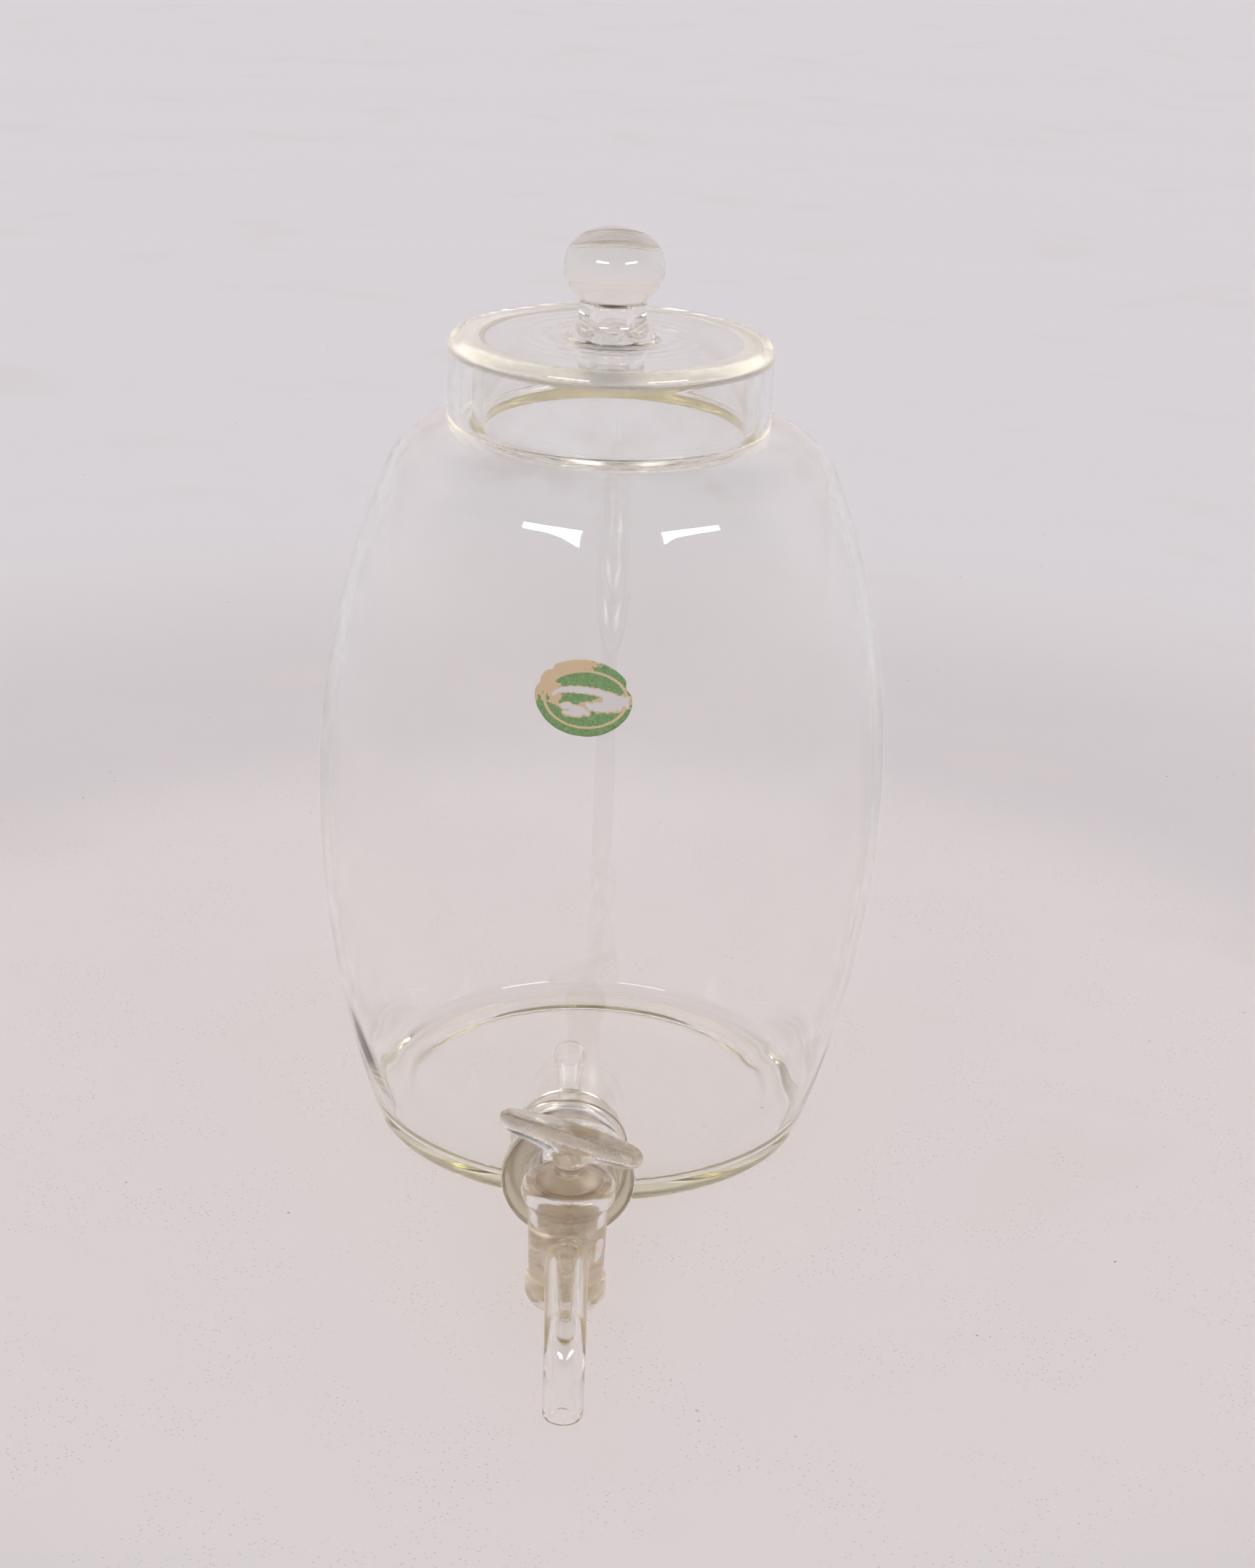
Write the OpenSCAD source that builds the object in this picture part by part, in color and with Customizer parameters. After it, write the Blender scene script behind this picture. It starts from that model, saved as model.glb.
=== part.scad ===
// Bellied glass specimen jar with a loose knobbed lid, a ground side socket near the base and a T-key
// stopcock that drains it. Millimetres. The origin is on the jar's axis in the plane it stands on,
// +Z is up and the side socket passes through the wall on the -Y side.

/* [Jar] */
// Outer radius at the widest point of the belly
belly_r = 117.9; // [110:0.1:125]
// Height of the widest point of the belly
belly_z = 150; // [135:1:165]
// Radius of the profile arc below the belly
lower_arc_r = 457; // [420:1:500]
// Radius of the profile arc above the belly
upper_arc_r = 357; // [330:1:390]
// Radius of the rounded shoulder
shoulder_arc_r = 32.3; // [28:0.1:36]
// Height of the top of the shoulder
shoulder_z = 305.2; // [303:0.1:305.4]
// Thickness of the jar's wall
wall_t = 4.2; // [3.5:0.1:5]
// Thickness of the jar's floor
floor_t = 7; // [6:0.5:9]
// Outer radius of the neck
neck_r = 57.5; // [56.5:0.1:57.8]
// Thickness of the neck's wall
neck_t = 4.5; // [4:0.1:5]

/* [Lid] */
// Outer radius of the lid's skirt
lid_r = 65; // [64.8:0.1:66]
// Thickness of the lid's skirt
skirt_t = 4.5; // [4:0.1:4.5]
// Height of the skirt's lower edge
skirt_z = 306; // [305.8:0.1:307]
// Height of the lid's top face
lid_z = 339.7; // [338:0.1:342]
// Thickness of the lid's top plate
plate_t = 5; // [4:0.1:6]
// How far the loose lid lies to one side of the jar's axis
lid_shift = -2.5; // [-2.5:0.1:0]

/* [Knob] */
// Radius of the knob's ball
ball_r = 19.9; // [18:0.1:22]
// Half the height of the knob's ball
ball_half_h = 15.3; // [14:0.1:17]
// Height of the ball's centre above the lid
ball_rise = 27.7; // [26:0.1:30]
// Radius of the waist below the ball
waist_r = 13.1; // [12:0.1:14]
// Radius of the stem where it meets the lid
stem_root_r = 16; // [15:0.1:18]

/* [Socket] */
// Height of the socket's axis
port_z = 31; // [30:0.1:33]
// Distance along the socket's axis at which its mouth lies
port_y = 130; // [126:1:134]
// Angle between the socket's axis and the jar's radius, seen from above
port_skew = 5; // [-8:0.5:8]
// Outer radius of the flange round the mouth
flange_r = 26.5; // [25:0.1:27]
// Outer radius of the socket's tube
socket_r = 21.2; // [20.8:0.1:22]
// Radius of the ground bore at the mouth
ground_r = 19.1; // [18.8:0.1:19.3]
// Length of the ground bore
ground_l = 40; // [38:1:44]

/* [Stopcock] */
// Distance along the socket's axis at which the key stands
key_y = 175; // [172:1:180]
// Height of the barrel's lower end
barrel_z0 = 7; // [6:0.5:9]
// Height of the barrel's top
barrel_z1 = 57.3; // [55:0.1:59]
// Outer radius of the barrel below its collar
barrel_r = 15.3; // [15:0.1:16]
// Largest radius of the collar
collar_r = 17.8; // [17:0.1:18.5]
// Radius of the key's bore at the barrel's top
key_bore_r = 12.7; // [12.2:0.1:12.8]
// Radius of the passage that the liquid runs through
passage_r = 4.3; // [3.5:0.1:4.5]
// Outer radius of the spout's hose end
hose_r = 7.4; // [7:0.1:8]
// Distance along the socket's axis at which the spout drops
drop_y = 249; // [244:1:254]
// Height of the spout's open end
drop_z = 3; // [2.5:0.1:4]

/* [Key] */
// Length of the T-handle
handle_l = 62; // [56:1:66]
// Height of the T-handle's centre line
handle_z = 74.7; // [73:0.1:78]
// Angle the closed T-handle stands at, seen from above
handle_turn = -30.25; // [-40:0.25:0]
// Radius of the handle's neck
handle_neck_r = 6.3; // [5.5:0.1:7]

/* [Label] */
// Half the width of the oval label
label_a = 18.6; // [15:0.1:22]
// Half the height of the oval label
label_b = 14.3; // [12:0.1:18]
// Height of the label's centre
label_z = 226.5; // [215:0.5:235]
// Sideways place of the label's centre
label_x = 0; // [-6:0.5:6]

/* [Hidden] */
$fn = 96;

glass = [0.86, 0.86, 0.83, 0.35];
frosted = [0.75, 0.72, 0.66, 0.6];
arc_steps = 14;      // segments in a long arc
fillet_steps = 5;    // segments in a small rounding
taper = 0.05;        // radius lost per unit length on every ground joint, 1 in 10 on diameter
fit_gap = 0.05;      // radial running clearance in the ground joints
over = 1;            // how far a cutting tool runs past what it cuts

// Points of an arc about [cx, cz] from angle a0 to angle a1.
function arc(cx, cz, r, a0, a1, n) =
    [for (i = [0:n]) let (a = a0 + (a1 - a0) * i / n) [cx + r * cos(a), cz + r * sin(a)]];

// Smooth maximum of two radii, which rounds the corner between them over a width k.
function smooth_max(a, b, k) = (a + b + sqrt((a - b) * (a - b) + k * k)) / 2;

// Centre of a circle of radius r at height z that touches the inside of a belly arc of radius big.
function touch_r(big, r, z) = belly_r - big + sqrt(pow(big - r, 2) - pow(z - belly_z, 2));

// ---- jar profile -------------------------------------------------------------------------------
heel_r = 3;
inner_heel_r = 9;
neck_fillet_r = 1.5;      // outside, small enough for the lid's skirt to clear it
in_neck_fillet_r = 4;
rim_round_r = 2.2;
rim_z = lid_z - plate_t;
shoulder_cz = shoulder_z - shoulder_arc_r;
shoulder_cr = touch_r(upper_arc_r, shoulder_arc_r, shoulder_cz);
shoulder_a = asin((shoulder_cz - belly_z) / (upper_arc_r - shoulder_arc_r));
heel_cr = touch_r(lower_arc_r, heel_r, heel_r);
heel_a = -asin((belly_z - heel_r) / (lower_arc_r - heel_r));
in_lower = lower_arc_r - wall_t;
in_upper = upper_arc_r - wall_t;
in_shoulder = shoulder_arc_r - wall_t;
in_heel_cz = floor_t + inner_heel_r;
in_heel_cr = belly_r - lower_arc_r
    + sqrt(pow(in_lower - inner_heel_r, 2) - pow(in_heel_cz - belly_z, 2));
in_heel_a = -asin((belly_z - in_heel_cz) / (in_lower - inner_heel_r));
neck_in_r = neck_r - neck_t;

neck_z0 = shoulder_z + neck_fillet_r;    // where the plain ring of the neck starts

jar_outside = concat(
    [[0, 0]],
    arc(heel_cr, heel_r, heel_r, -90, heel_a, fillet_steps),
    arc(belly_r - lower_arc_r, belly_z, lower_arc_r, heel_a + 0.4, 0, arc_steps),
    arc(belly_r - upper_arc_r, belly_z, upper_arc_r, 0.8, shoulder_a, arc_steps),
    arc(shoulder_cr, shoulder_cz, shoulder_arc_r, shoulder_a + 4, 89, arc_steps),
    arc(neck_r + neck_fillet_r, neck_z0, neck_fillet_r, 270, 180, fillet_steps));

jar_inside = concat(
    [[0, floor_t]],
    arc(in_heel_cr, in_heel_cz, inner_heel_r, -90, in_heel_a, fillet_steps),
    arc(belly_r - lower_arc_r, belly_z, in_lower, in_heel_a + 0.8, 0, arc_steps),
    arc(belly_r - upper_arc_r, belly_z, in_upper, 0.8, shoulder_a, arc_steps),
    arc(shoulder_cr, shoulder_cz, in_shoulder, shoulder_a + 4, 90, arc_steps),
    arc(neck_in_r + in_neck_fillet_r, shoulder_z - wall_t + in_neck_fillet_r, in_neck_fillet_r, 270, 180,
        fillet_steps),
    [[neck_in_r, neck_z0]]);

function reversed(list) = [for (i = [len(list) - 1:-1:0]) list[i]];

// Radius at which the socket's axis meets the jar's outer face.
port_wall_y = belly_r - lower_arc_r + sqrt(pow(lower_arc_r, 2) - pow(port_z - belly_z, 2));

// Turns its children by the socket's skew, about the upright line through that meeting point.
module skewed() translate([0, -port_wall_y, 0]) rotate([0, 0, port_skew]) translate([0, port_wall_y, 0])
    children();

// Turns its children so that what was built up along +Z points out along the socket's axis.
module along_port() skewed() translate([0, 0, port_z]) rotate([90, 0, 0]) children();

// Turns a profile whose points are [radius, distance] about the upright axis.
module lathe(points) rotate_extrude() polygon(points);

// Stands its children on the key's upright axis.
module on_key() skewed() translate([0, -key_y, 0]) children();

// ---- jar -----------------------------------------------------------------------------------------
module jar_body() color(glass)
    difference() {
        lathe(concat(jar_outside, reversed(jar_inside)));
        along_port() translate([0, 0, socket_y0 - over]) cylinder(r = socket_r, h = port_y);
    }

// Plain ring of the neck, rounded over at the rim that the lid rests on.
module jar_neck() color(glass)
    lathe(concat(
        [[neck_in_r, neck_z0], [neck_r, neck_z0]],
        arc(neck_r - rim_round_r, rim_z - rim_round_r, rim_round_r, 0, 90, fillet_steps),
        arc(neck_in_r + rim_round_r, rim_z - rim_round_r, rim_round_r, 90, 180, fillet_steps)));

// Ground socket let into the wall, with a flat flange round its mouth.
flange_t = 7;
flange_round_r = 2.5;
socket_y0 = port_y - ground_l;
socket_end_round = 1.5;

module side_socket() color(frosted)
    along_port() lathe(concat(
        [[ground_r - taper * (ground_l - socket_end_round), socket_y0 + socket_end_round],
         [ground_r - taper * ground_l + socket_end_round, socket_y0],
         [socket_r - socket_end_round, socket_y0],
         [socket_r, socket_y0 + socket_end_round],
         [socket_r, port_y - flange_t - (flange_r - socket_r) / 2]],
        arc(flange_r - flange_round_r, port_y - flange_t + flange_round_r, flange_round_r, -60, 0,
            fillet_steps),
        arc(flange_r - flange_round_r, port_y - flange_round_r, flange_round_r, 0, 90, fillet_steps),
        [[ground_r, port_y]]));

// Oval paper label that follows the belly, a hair proud of the glass.
label_t = 0.25;
label_gap = 0.02;
label_tilt = 4;
label_sides = 40;

// Stretch of the belly's upper arc behind the label, moved outwards.
function label_arc(lift) = arc(belly_r - upper_arc_r, belly_z, upper_arc_r + lift, 9, 16, arc_steps);

module paper_label() color([0.46, 0.6, 0.38])
    intersection() {
        lathe(concat(
            label_arc(label_gap),
            reversed(label_arc(label_gap + label_t))));
        translate([label_x, 0, label_z]) rotate([90, label_tilt, 0])
            linear_extrude(height = 2 * belly_r)
                polygon([for (i = [0:label_sides - 1]) let (a = 360 * i / label_sides)
                    [label_a * cos(a), label_b * sin(a)]]);
    }

// ---- lid -----------------------------------------------------------------------------------------
lid_edge_r = 4;
lid_inner_r = 1.5;
skirt_end_r = 0.5;
well_r = 6.7;         // cavity in the knob's stem, where it opens through the plate
well_top_r = 5.2;
well_top_z = lid_z + 12;
well_dome_h = 5.5;
waist_z = lid_z + 10.5;
ball_z = lid_z + ball_rise;

module lid_cover() color(glass)
    translate([lid_shift, 0, 0]) lathe(concat(
        [[well_r, rim_z]],
        arc(lid_r - skirt_t - lid_inner_r, rim_z - lid_inner_r, lid_inner_r, 90, 0, fillet_steps),
        arc(lid_r - skirt_t + skirt_end_r, skirt_z + skirt_end_r, skirt_end_r, 180, 270, fillet_steps),
        arc(lid_r - skirt_end_r, skirt_z + skirt_end_r, skirt_end_r, 270, 360, fillet_steps),
        arc(lid_r - lid_edge_r, lid_z - lid_edge_r, lid_edge_r, 0, 90, fillet_steps),
        [[well_r, lid_z]]));

// Radius of the stem at a height: it narrows from its root to the waist and stays there.
function stem_r(z) =
    waist_r + (stem_root_r - waist_r) * pow(max(0, waist_z - z) / (waist_z - lid_z), 2);
// Radius of the flattened ball at a height.
function ball_at(z) = ball_r * sqrt(max(0, 1 - pow((z - ball_z) / ball_half_h, 2)));
knob_steps = 18;
knob_blend = 1.2;

module lid_knob() color(glass)
    translate([lid_shift, 0, 0]) lathe(concat(
        [[well_r, lid_z]],
        [for (i = [0:knob_steps]) let (z = lid_z + ball_rise * i / knob_steps)
            [smooth_max(ball_at(z), stem_r(z), knob_blend), z]],
        [for (i = [1:knob_steps - 1]) let (a = 90 * i / knob_steps)
            [ball_r * cos(a), ball_z + ball_half_h * sin(a)]],
        [[0, ball_z + ball_half_h]],
        [for (i = [0:fillet_steps]) let (a = 90 - 90 * i / fillet_steps)
            [well_top_r * cos(a), well_top_z + well_dome_h * sin(a)]]));

// ---- stopcock ------------------------------------------------------------------------------------
cone_wall = 2.6;
cone_y1 = port_y + 4;                  // the cone stands a little out of the socket
cone_y0 = socket_y0 + 7;               // and ends a little short of its inner end
cone_r1 = ground_r - fit_gap + taper * (cone_y1 - port_y);
cone_r0 = ground_r - fit_gap - taper * (port_y - cone_y0);
shoulder_l = 7;                        // length of the closing shoulder at each end of the cone
tube_r = 4.7;                          // outside of the thin tube inside the jar
tube_wall = 1.6;
arm_r = 8.5;                           // outside of the arm between cone and barrel

// Hollow ground cone, closed to the thin tube at its inner end and to the arm at its outer end.
module ground_cone() color(frosted)
    along_port() lathe([
        [tube_r - tube_wall, cone_y0 - shoulder_l],
        [tube_r, cone_y0 - shoulder_l],
        [cone_r0 * 0.72, cone_y0 - shoulder_l * 0.45],
        [cone_r0, cone_y0],
        [cone_r1, cone_y1],
        [cone_r1 * 0.8, cone_y1 + shoulder_l * 0.6],
        [arm_r, cone_y1 + shoulder_l],
        [passage_r, cone_y1 + shoulder_l],
        [cone_r1 - cone_wall - 3, cone_y1 + 1],
        [cone_r1 - cone_wall, cone_y1 - 4],
        [cone_r0 - cone_wall, cone_y0 + 2],
        [tube_r, cone_y0 - shoulder_l * 0.3]]);

// Thin tube that reaches into the jar and widens all the way to its open end.
tube_y0 = 21;                          // the open end
tube_l = cone_y0 - shoulder_l - tube_y0;
tube_mouth_r = 7.1;

// Outer radius of the tube at a share u of its length, 0 at its open end.
function tube_at(u) = tube_r + (tube_mouth_r - tube_r) * pow(1 - u, 2.2);

module draw_tube() color(glass)
    along_port() lathe(concat(
        [for (i = [0:8]) [tube_at(i / 8), tube_y0 + tube_l * i / 8]],
        [for (i = [8:-1:0]) [tube_at(i / 8) - tube_wall, tube_y0 + tube_l * i / 8]]));

// Radius of the key's tapered bore at a height.
function bore_at(z) = key_bore_r - taper * (barrel_z1 - z);

// Solid of the bore, a little longer than the barrel, as a cutting tool.
module key_bore() on_key() translate([0, 0, barrel_z0 - over])
    cylinder(r1 = bore_at(barrel_z0 - over), r2 = bore_at(barrel_z1 + over),
             h = barrel_z1 - barrel_z0 + 2 * over);

module side_arm() color(glass)
    difference() {
        along_port() translate([0, 0, cone_y1 + shoulder_l])
            difference() {
                cylinder(r = arm_r, h = key_y - cone_y1 - shoulder_l);
                translate([0, 0, -over]) cylinder(r = passage_r, h = key_y);
            }
        key_bore();
    }

collar_h = 6.8;
collar_top_r = 16.4;
barrel_low_r = 14.3;
bead_r = 15.5;
bead_h = 9;

module barrel() color(glass)
    difference() {
        on_key() lathe(concat(
            [[0, barrel_z0]],
            arc(bead_r - bead_h / 2, barrel_z0 + bead_h / 2, bead_h / 2, -90, 60, fillet_steps + 3),
            [[barrel_low_r, barrel_z0 + bead_h + 1],
             [barrel_r, barrel_z1 - collar_h - 2]],
            arc(collar_r - 2, barrel_z1 - collar_h + 2, 2, -60, 0, fillet_steps),
            arc(collar_r - 3, barrel_z1 - 3, 3, 0, 60, fillet_steps),
            [[collar_top_r - 0.4, barrel_z1], [0, barrel_z1]]));
        key_bore();
        along_port() translate([0, 0, cone_y1]) cylinder(r = arm_r, h = key_y - cone_y1);
        along_port() translate([0, 0, key_y]) cylinder(r = arm_r, h = key_y);
    }

bend_r = 14;                           // centre-line radius of the spout's bend
bend_y = drop_y - bend_r;
spout_root_y = key_y + barrel_r + 1.7;  // where the spout starts to narrow

// One tube of the spout's route: outer radius out_r at the barrel, end_r at the bend, then down.
module spout_route(out_r, end_r, extra) {
    along_port() translate([0, 0, key_y]) cylinder(r = out_r, h = spout_root_y - key_y);
    along_port() translate([0, 0, spout_root_y])
        cylinder(r1 = out_r, r2 = end_r, h = bend_y - spout_root_y);
    skewed() translate([0, -bend_y, port_z - bend_r]) rotate([90, 0, -90]) rotate_extrude(angle = 90)
        translate([bend_r, 0]) circle(r = end_r);
    skewed() translate([0, -drop_y, drop_z - extra])
        cylinder(r = end_r, h = port_z - bend_r - drop_z + extra);
}

module spout() color(glass)
    difference() {
        spout_route(arm_r, hose_r, 0);
        spout_route(passage_r, passage_r, over);
        key_bore();
    }

// ---- key -----------------------------------------------------------------------------------------
plug_z0 = barrel_z0 + 2;
plug_z1 = barrel_z1 + 0.7;
plug_join_z = plug_z1 + 6;             // where the handle's neck is fused to the plug
plug_edge = 0.8;                       // bevel round the plug's lower edge
dome_h = 3.4;                          // rise of the plug's domed top

// Radius of the plug at a height, a running clearance less than the bore.
function plug_at(z) = bore_at(z) - fit_gap;

// Ground plug, bored across in line with the handle, with a domed top.
module key_plug() color(frosted)
    on_key() rotate([0, 0, handle_turn]) difference() {
        lathe(concat(
            [[0, plug_z0],
             [plug_at(plug_z0) - plug_edge, plug_z0],
             [plug_at(plug_z0 + plug_edge), plug_z0 + plug_edge],
             [plug_at(plug_z1), plug_z1]],
            [for (i = [1:fillet_steps]) let (a = 90 * i / fillet_steps)
                [handle_neck_r + (plug_at(plug_z1) - handle_neck_r) * cos(a), plug_z1 + dome_h * sin(a)]],
            [[handle_neck_r, plug_join_z], [0, plug_join_z]]));
        translate([0, 0, port_z]) rotate([0, 90, 0])
            cylinder(r = passage_r, h = 2 * barrel_r, center = true);
    }

handle_r = 5.6;                        // half the handle's height at its middle
handle_tip_r = 4.5;                    // and at its ends
handle_t = 8.4;                        // thickness between its pressed sides

module key_handle() color(glass)
    on_key() rotate([0, 0, handle_turn]) {
        translate([0, 0, plug_join_z]) cylinder(r = handle_neck_r, h = handle_z - plug_join_z);
        intersection() {
            for (side = [-90, 90]) translate([0, 0, handle_z]) rotate([0, side, 0]) {
                cylinder(r1 = handle_r, r2 = handle_tip_r, h = handle_l / 2 - handle_tip_r);
                translate([0, 0, handle_l / 2 - handle_tip_r]) sphere(r = handle_tip_r);
            }
            translate([0, 0, handle_z]) cube([handle_l, handle_t, 3 * handle_r], center = true);
        }
    }

jar_body();
jar_neck();
side_socket();
paper_label();
lid_cover();
lid_knob();
ground_cone();
draw_tube();
side_arm();
barrel();
spout();
key_plug();
key_handle();
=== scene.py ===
"""Looks of a bellied glass specimen jar with a loose knobbed lid, a side socket and a T-key stopcock.

Everything is in metres in the part's own frame: the origin is on the jar's axis in the plane it stands
on, +Z is up and the side socket passes through the wall on the -Y side. Sizes inside the classes are in
millimetres and are turned into metres where a mesh is made.
"""

from __future__ import annotations

import logging
import math
from dataclasses import dataclass, field
from enum import Enum
from typing import Any, Sequence

import bmesh
import bpy
import numpy as np
from mathutils import Matrix, Vector

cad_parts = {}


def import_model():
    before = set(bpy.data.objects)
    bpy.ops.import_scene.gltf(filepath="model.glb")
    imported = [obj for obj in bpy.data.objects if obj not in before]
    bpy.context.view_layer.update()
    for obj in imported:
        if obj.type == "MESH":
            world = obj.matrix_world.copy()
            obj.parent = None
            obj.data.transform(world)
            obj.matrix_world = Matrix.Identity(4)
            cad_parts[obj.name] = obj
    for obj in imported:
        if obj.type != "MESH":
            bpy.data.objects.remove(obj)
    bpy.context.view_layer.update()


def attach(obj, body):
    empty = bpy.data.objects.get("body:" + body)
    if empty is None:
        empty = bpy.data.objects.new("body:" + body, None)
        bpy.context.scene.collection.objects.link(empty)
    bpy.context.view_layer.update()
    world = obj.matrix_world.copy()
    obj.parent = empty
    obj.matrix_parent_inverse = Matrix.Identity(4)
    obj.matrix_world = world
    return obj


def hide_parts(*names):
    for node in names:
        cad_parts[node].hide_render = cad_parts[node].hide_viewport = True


LOG = logging.getLogger("specimen_jar")
Array = np.ndarray
MM = 0.001
TAPER = 0.05  # radius lost per unit length on every ground joint
SKEW = 5.0  # degrees between the side socket's axis and the jar's radius, seen from above
PIVOT = 102.135  # distance from the jar's axis at which the socket's axis meets the outer face
FILM = 36.0  # long side of the camera's film in millimetres


# --------------------------------------------------------------------------------------------------
# Outlines
# --------------------------------------------------------------------------------------------------


def arc(centre: tuple[float, float], radius: float, start: float, end: float, steps: int = 40) -> Array:
    """Points of a circular arc.

    The point at angle a is centre + radius * (cos a, sin a).

    Args:
        centre: Centre, as distance from the axis and height.
        radius: Radius of the arc.
        start: First angle in degrees.
        end: Last angle in degrees.
        steps: Number of segments.

    Returns:
        An array of steps + 1 points.
    """
    angle = np.radians(np.linspace(start, end, steps + 1))
    return np.stack([centre[0] + radius * np.cos(angle), centre[1] + radius * np.sin(angle)], axis=1)


def rounded(corners: Sequence[Sequence[float]], radii: Sequence[float], steps: int = 8) -> Array:
    """A line through corners with each corner eased by a quadratic curve.

    The curve starts a given distance before the corner and ends the same distance after it. Between
    them the point is (1-t)^2 * before + 2t(1-t) * corner + t^2 * after.

    Args:
        corners: Corners in order, in any number of dimensions.
        radii: Distance from each corner at which its easing starts; 0 keeps the corner.
        steps: Segments in each eased corner.

    Returns:
        The points of the eased line.
    """
    points = np.asarray(corners, dtype=float)
    t = np.linspace(0.0, 1.0, steps + 1)[:, None]
    parts = [points[:1]]
    for before, corner, after, radius in zip(points[:-2], points[1:-1], points[2:], radii[1:-1]):
        if radius <= 0.0:
            parts.append(corner[None, :])
            continue
        first, last = before - corner, after - corner
        start = corner + first * min(radius / np.linalg.norm(first), 0.49)
        end = corner + last * min(radius / np.linalg.norm(last), 0.49)
        parts.append((1 - t) ** 2 * start + 2 * t * (1 - t) * corner + t**2 * end)
    parts.append(points[-1:])
    return np.concatenate(parts)


@dataclass
class Outline:
    """A fine outline that hands out rows spaced by length and by how sharply it turns.

    Attributes:
        points: Fine points in order; the first column is the distance from the axis, the last is the
            height or the distance along a tube.
        step: Length of one row on a straight stretch.
        turn: Turning of one row on a round stretch, in degrees.
        fine: Lowest and highest height between which rows lie closer, and how many times closer.
    """

    points: Array
    step: float = 3.0
    turn: float = 10.0
    fine: tuple[float, float, float] = (0.0, 0.0, 1.0)

    def __post_init__(self) -> None:
        """Adds up length / step + turning / turn along the outline, the measure that rows are even in."""
        keep = np.r_[True, np.linalg.norm(np.diff(self.points, axis=0), axis=1) > 1e-9]
        self.points = self.points[keep]
        run = np.diff(self.points, axis=0)
        length = np.linalg.norm(run, axis=1)
        unit = run / length[:, None]
        cosine = np.clip((unit[1:] * unit[:-1]).sum(axis=1), -1.0, 1.0)
        bend = np.degrees(np.arccos(cosine))
        share = length / self.step
        share[:-1] += 0.5 * bend / self.turn
        share[1:] += 0.5 * bend / self.turn
        height, (low, high, times) = self.points[1:, -1], self.fine
        share *= np.where((height > low) & (height < high), times, 1.0)
        self.measure = np.r_[0.0, np.cumsum(share)]

    def crossing(self, height: float, rising: bool) -> float:
        """Measure at which the outline first passes a height.

        Args:
            height: The height.
            rising: Whether the outline goes up through it.

        Returns:
            The measure there.
        """
        z = self.points[:, -1]
        low, high = (z[:-1], z[1:]) if rising else (z[1:], z[:-1])
        i = int(np.nonzero((low < height) & (height <= high))[0][0])
        share = (height - z[i]) / (z[i + 1] - z[i])
        return float(self.measure[i] + share * (self.measure[i + 1] - self.measure[i]))

    def at(self, measure: Array) -> Array:
        """Points at the given measures, by straight interpolation between the fine points."""
        columns = [np.interp(measure, self.measure, column) for column in self.points.T]
        return np.stack(columns, axis=-1)

    def rows(
        self, cuts: Sequence[float] = (), counts: Sequence[int | None] = (None,)
    ) -> tuple[Array, list[int]]:
        """Rows along the outline, with a row exactly at each cut.

        Args:
            cuts: Measures that rows must fall on.
            counts: Number of rows in each stretch between cuts, or None to follow the measure.

        Returns:
            The rows and the row number of each cut.
        """
        ends = [0.0, *cuts, float(self.measure[-1])]
        marks, numbers = [np.zeros(1)], []
        total = 0
        for first, last, count in zip(ends[:-1], ends[1:], counts):
            n = count or max(2, math.ceil(last - first))
            marks.append(np.linspace(first, last, n + 1)[1:])
            total += n
            numbers.append(total)
        return self.at(np.concatenate(marks)), numbers[:-1]


# --------------------------------------------------------------------------------------------------
# Meshes
# --------------------------------------------------------------------------------------------------


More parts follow.
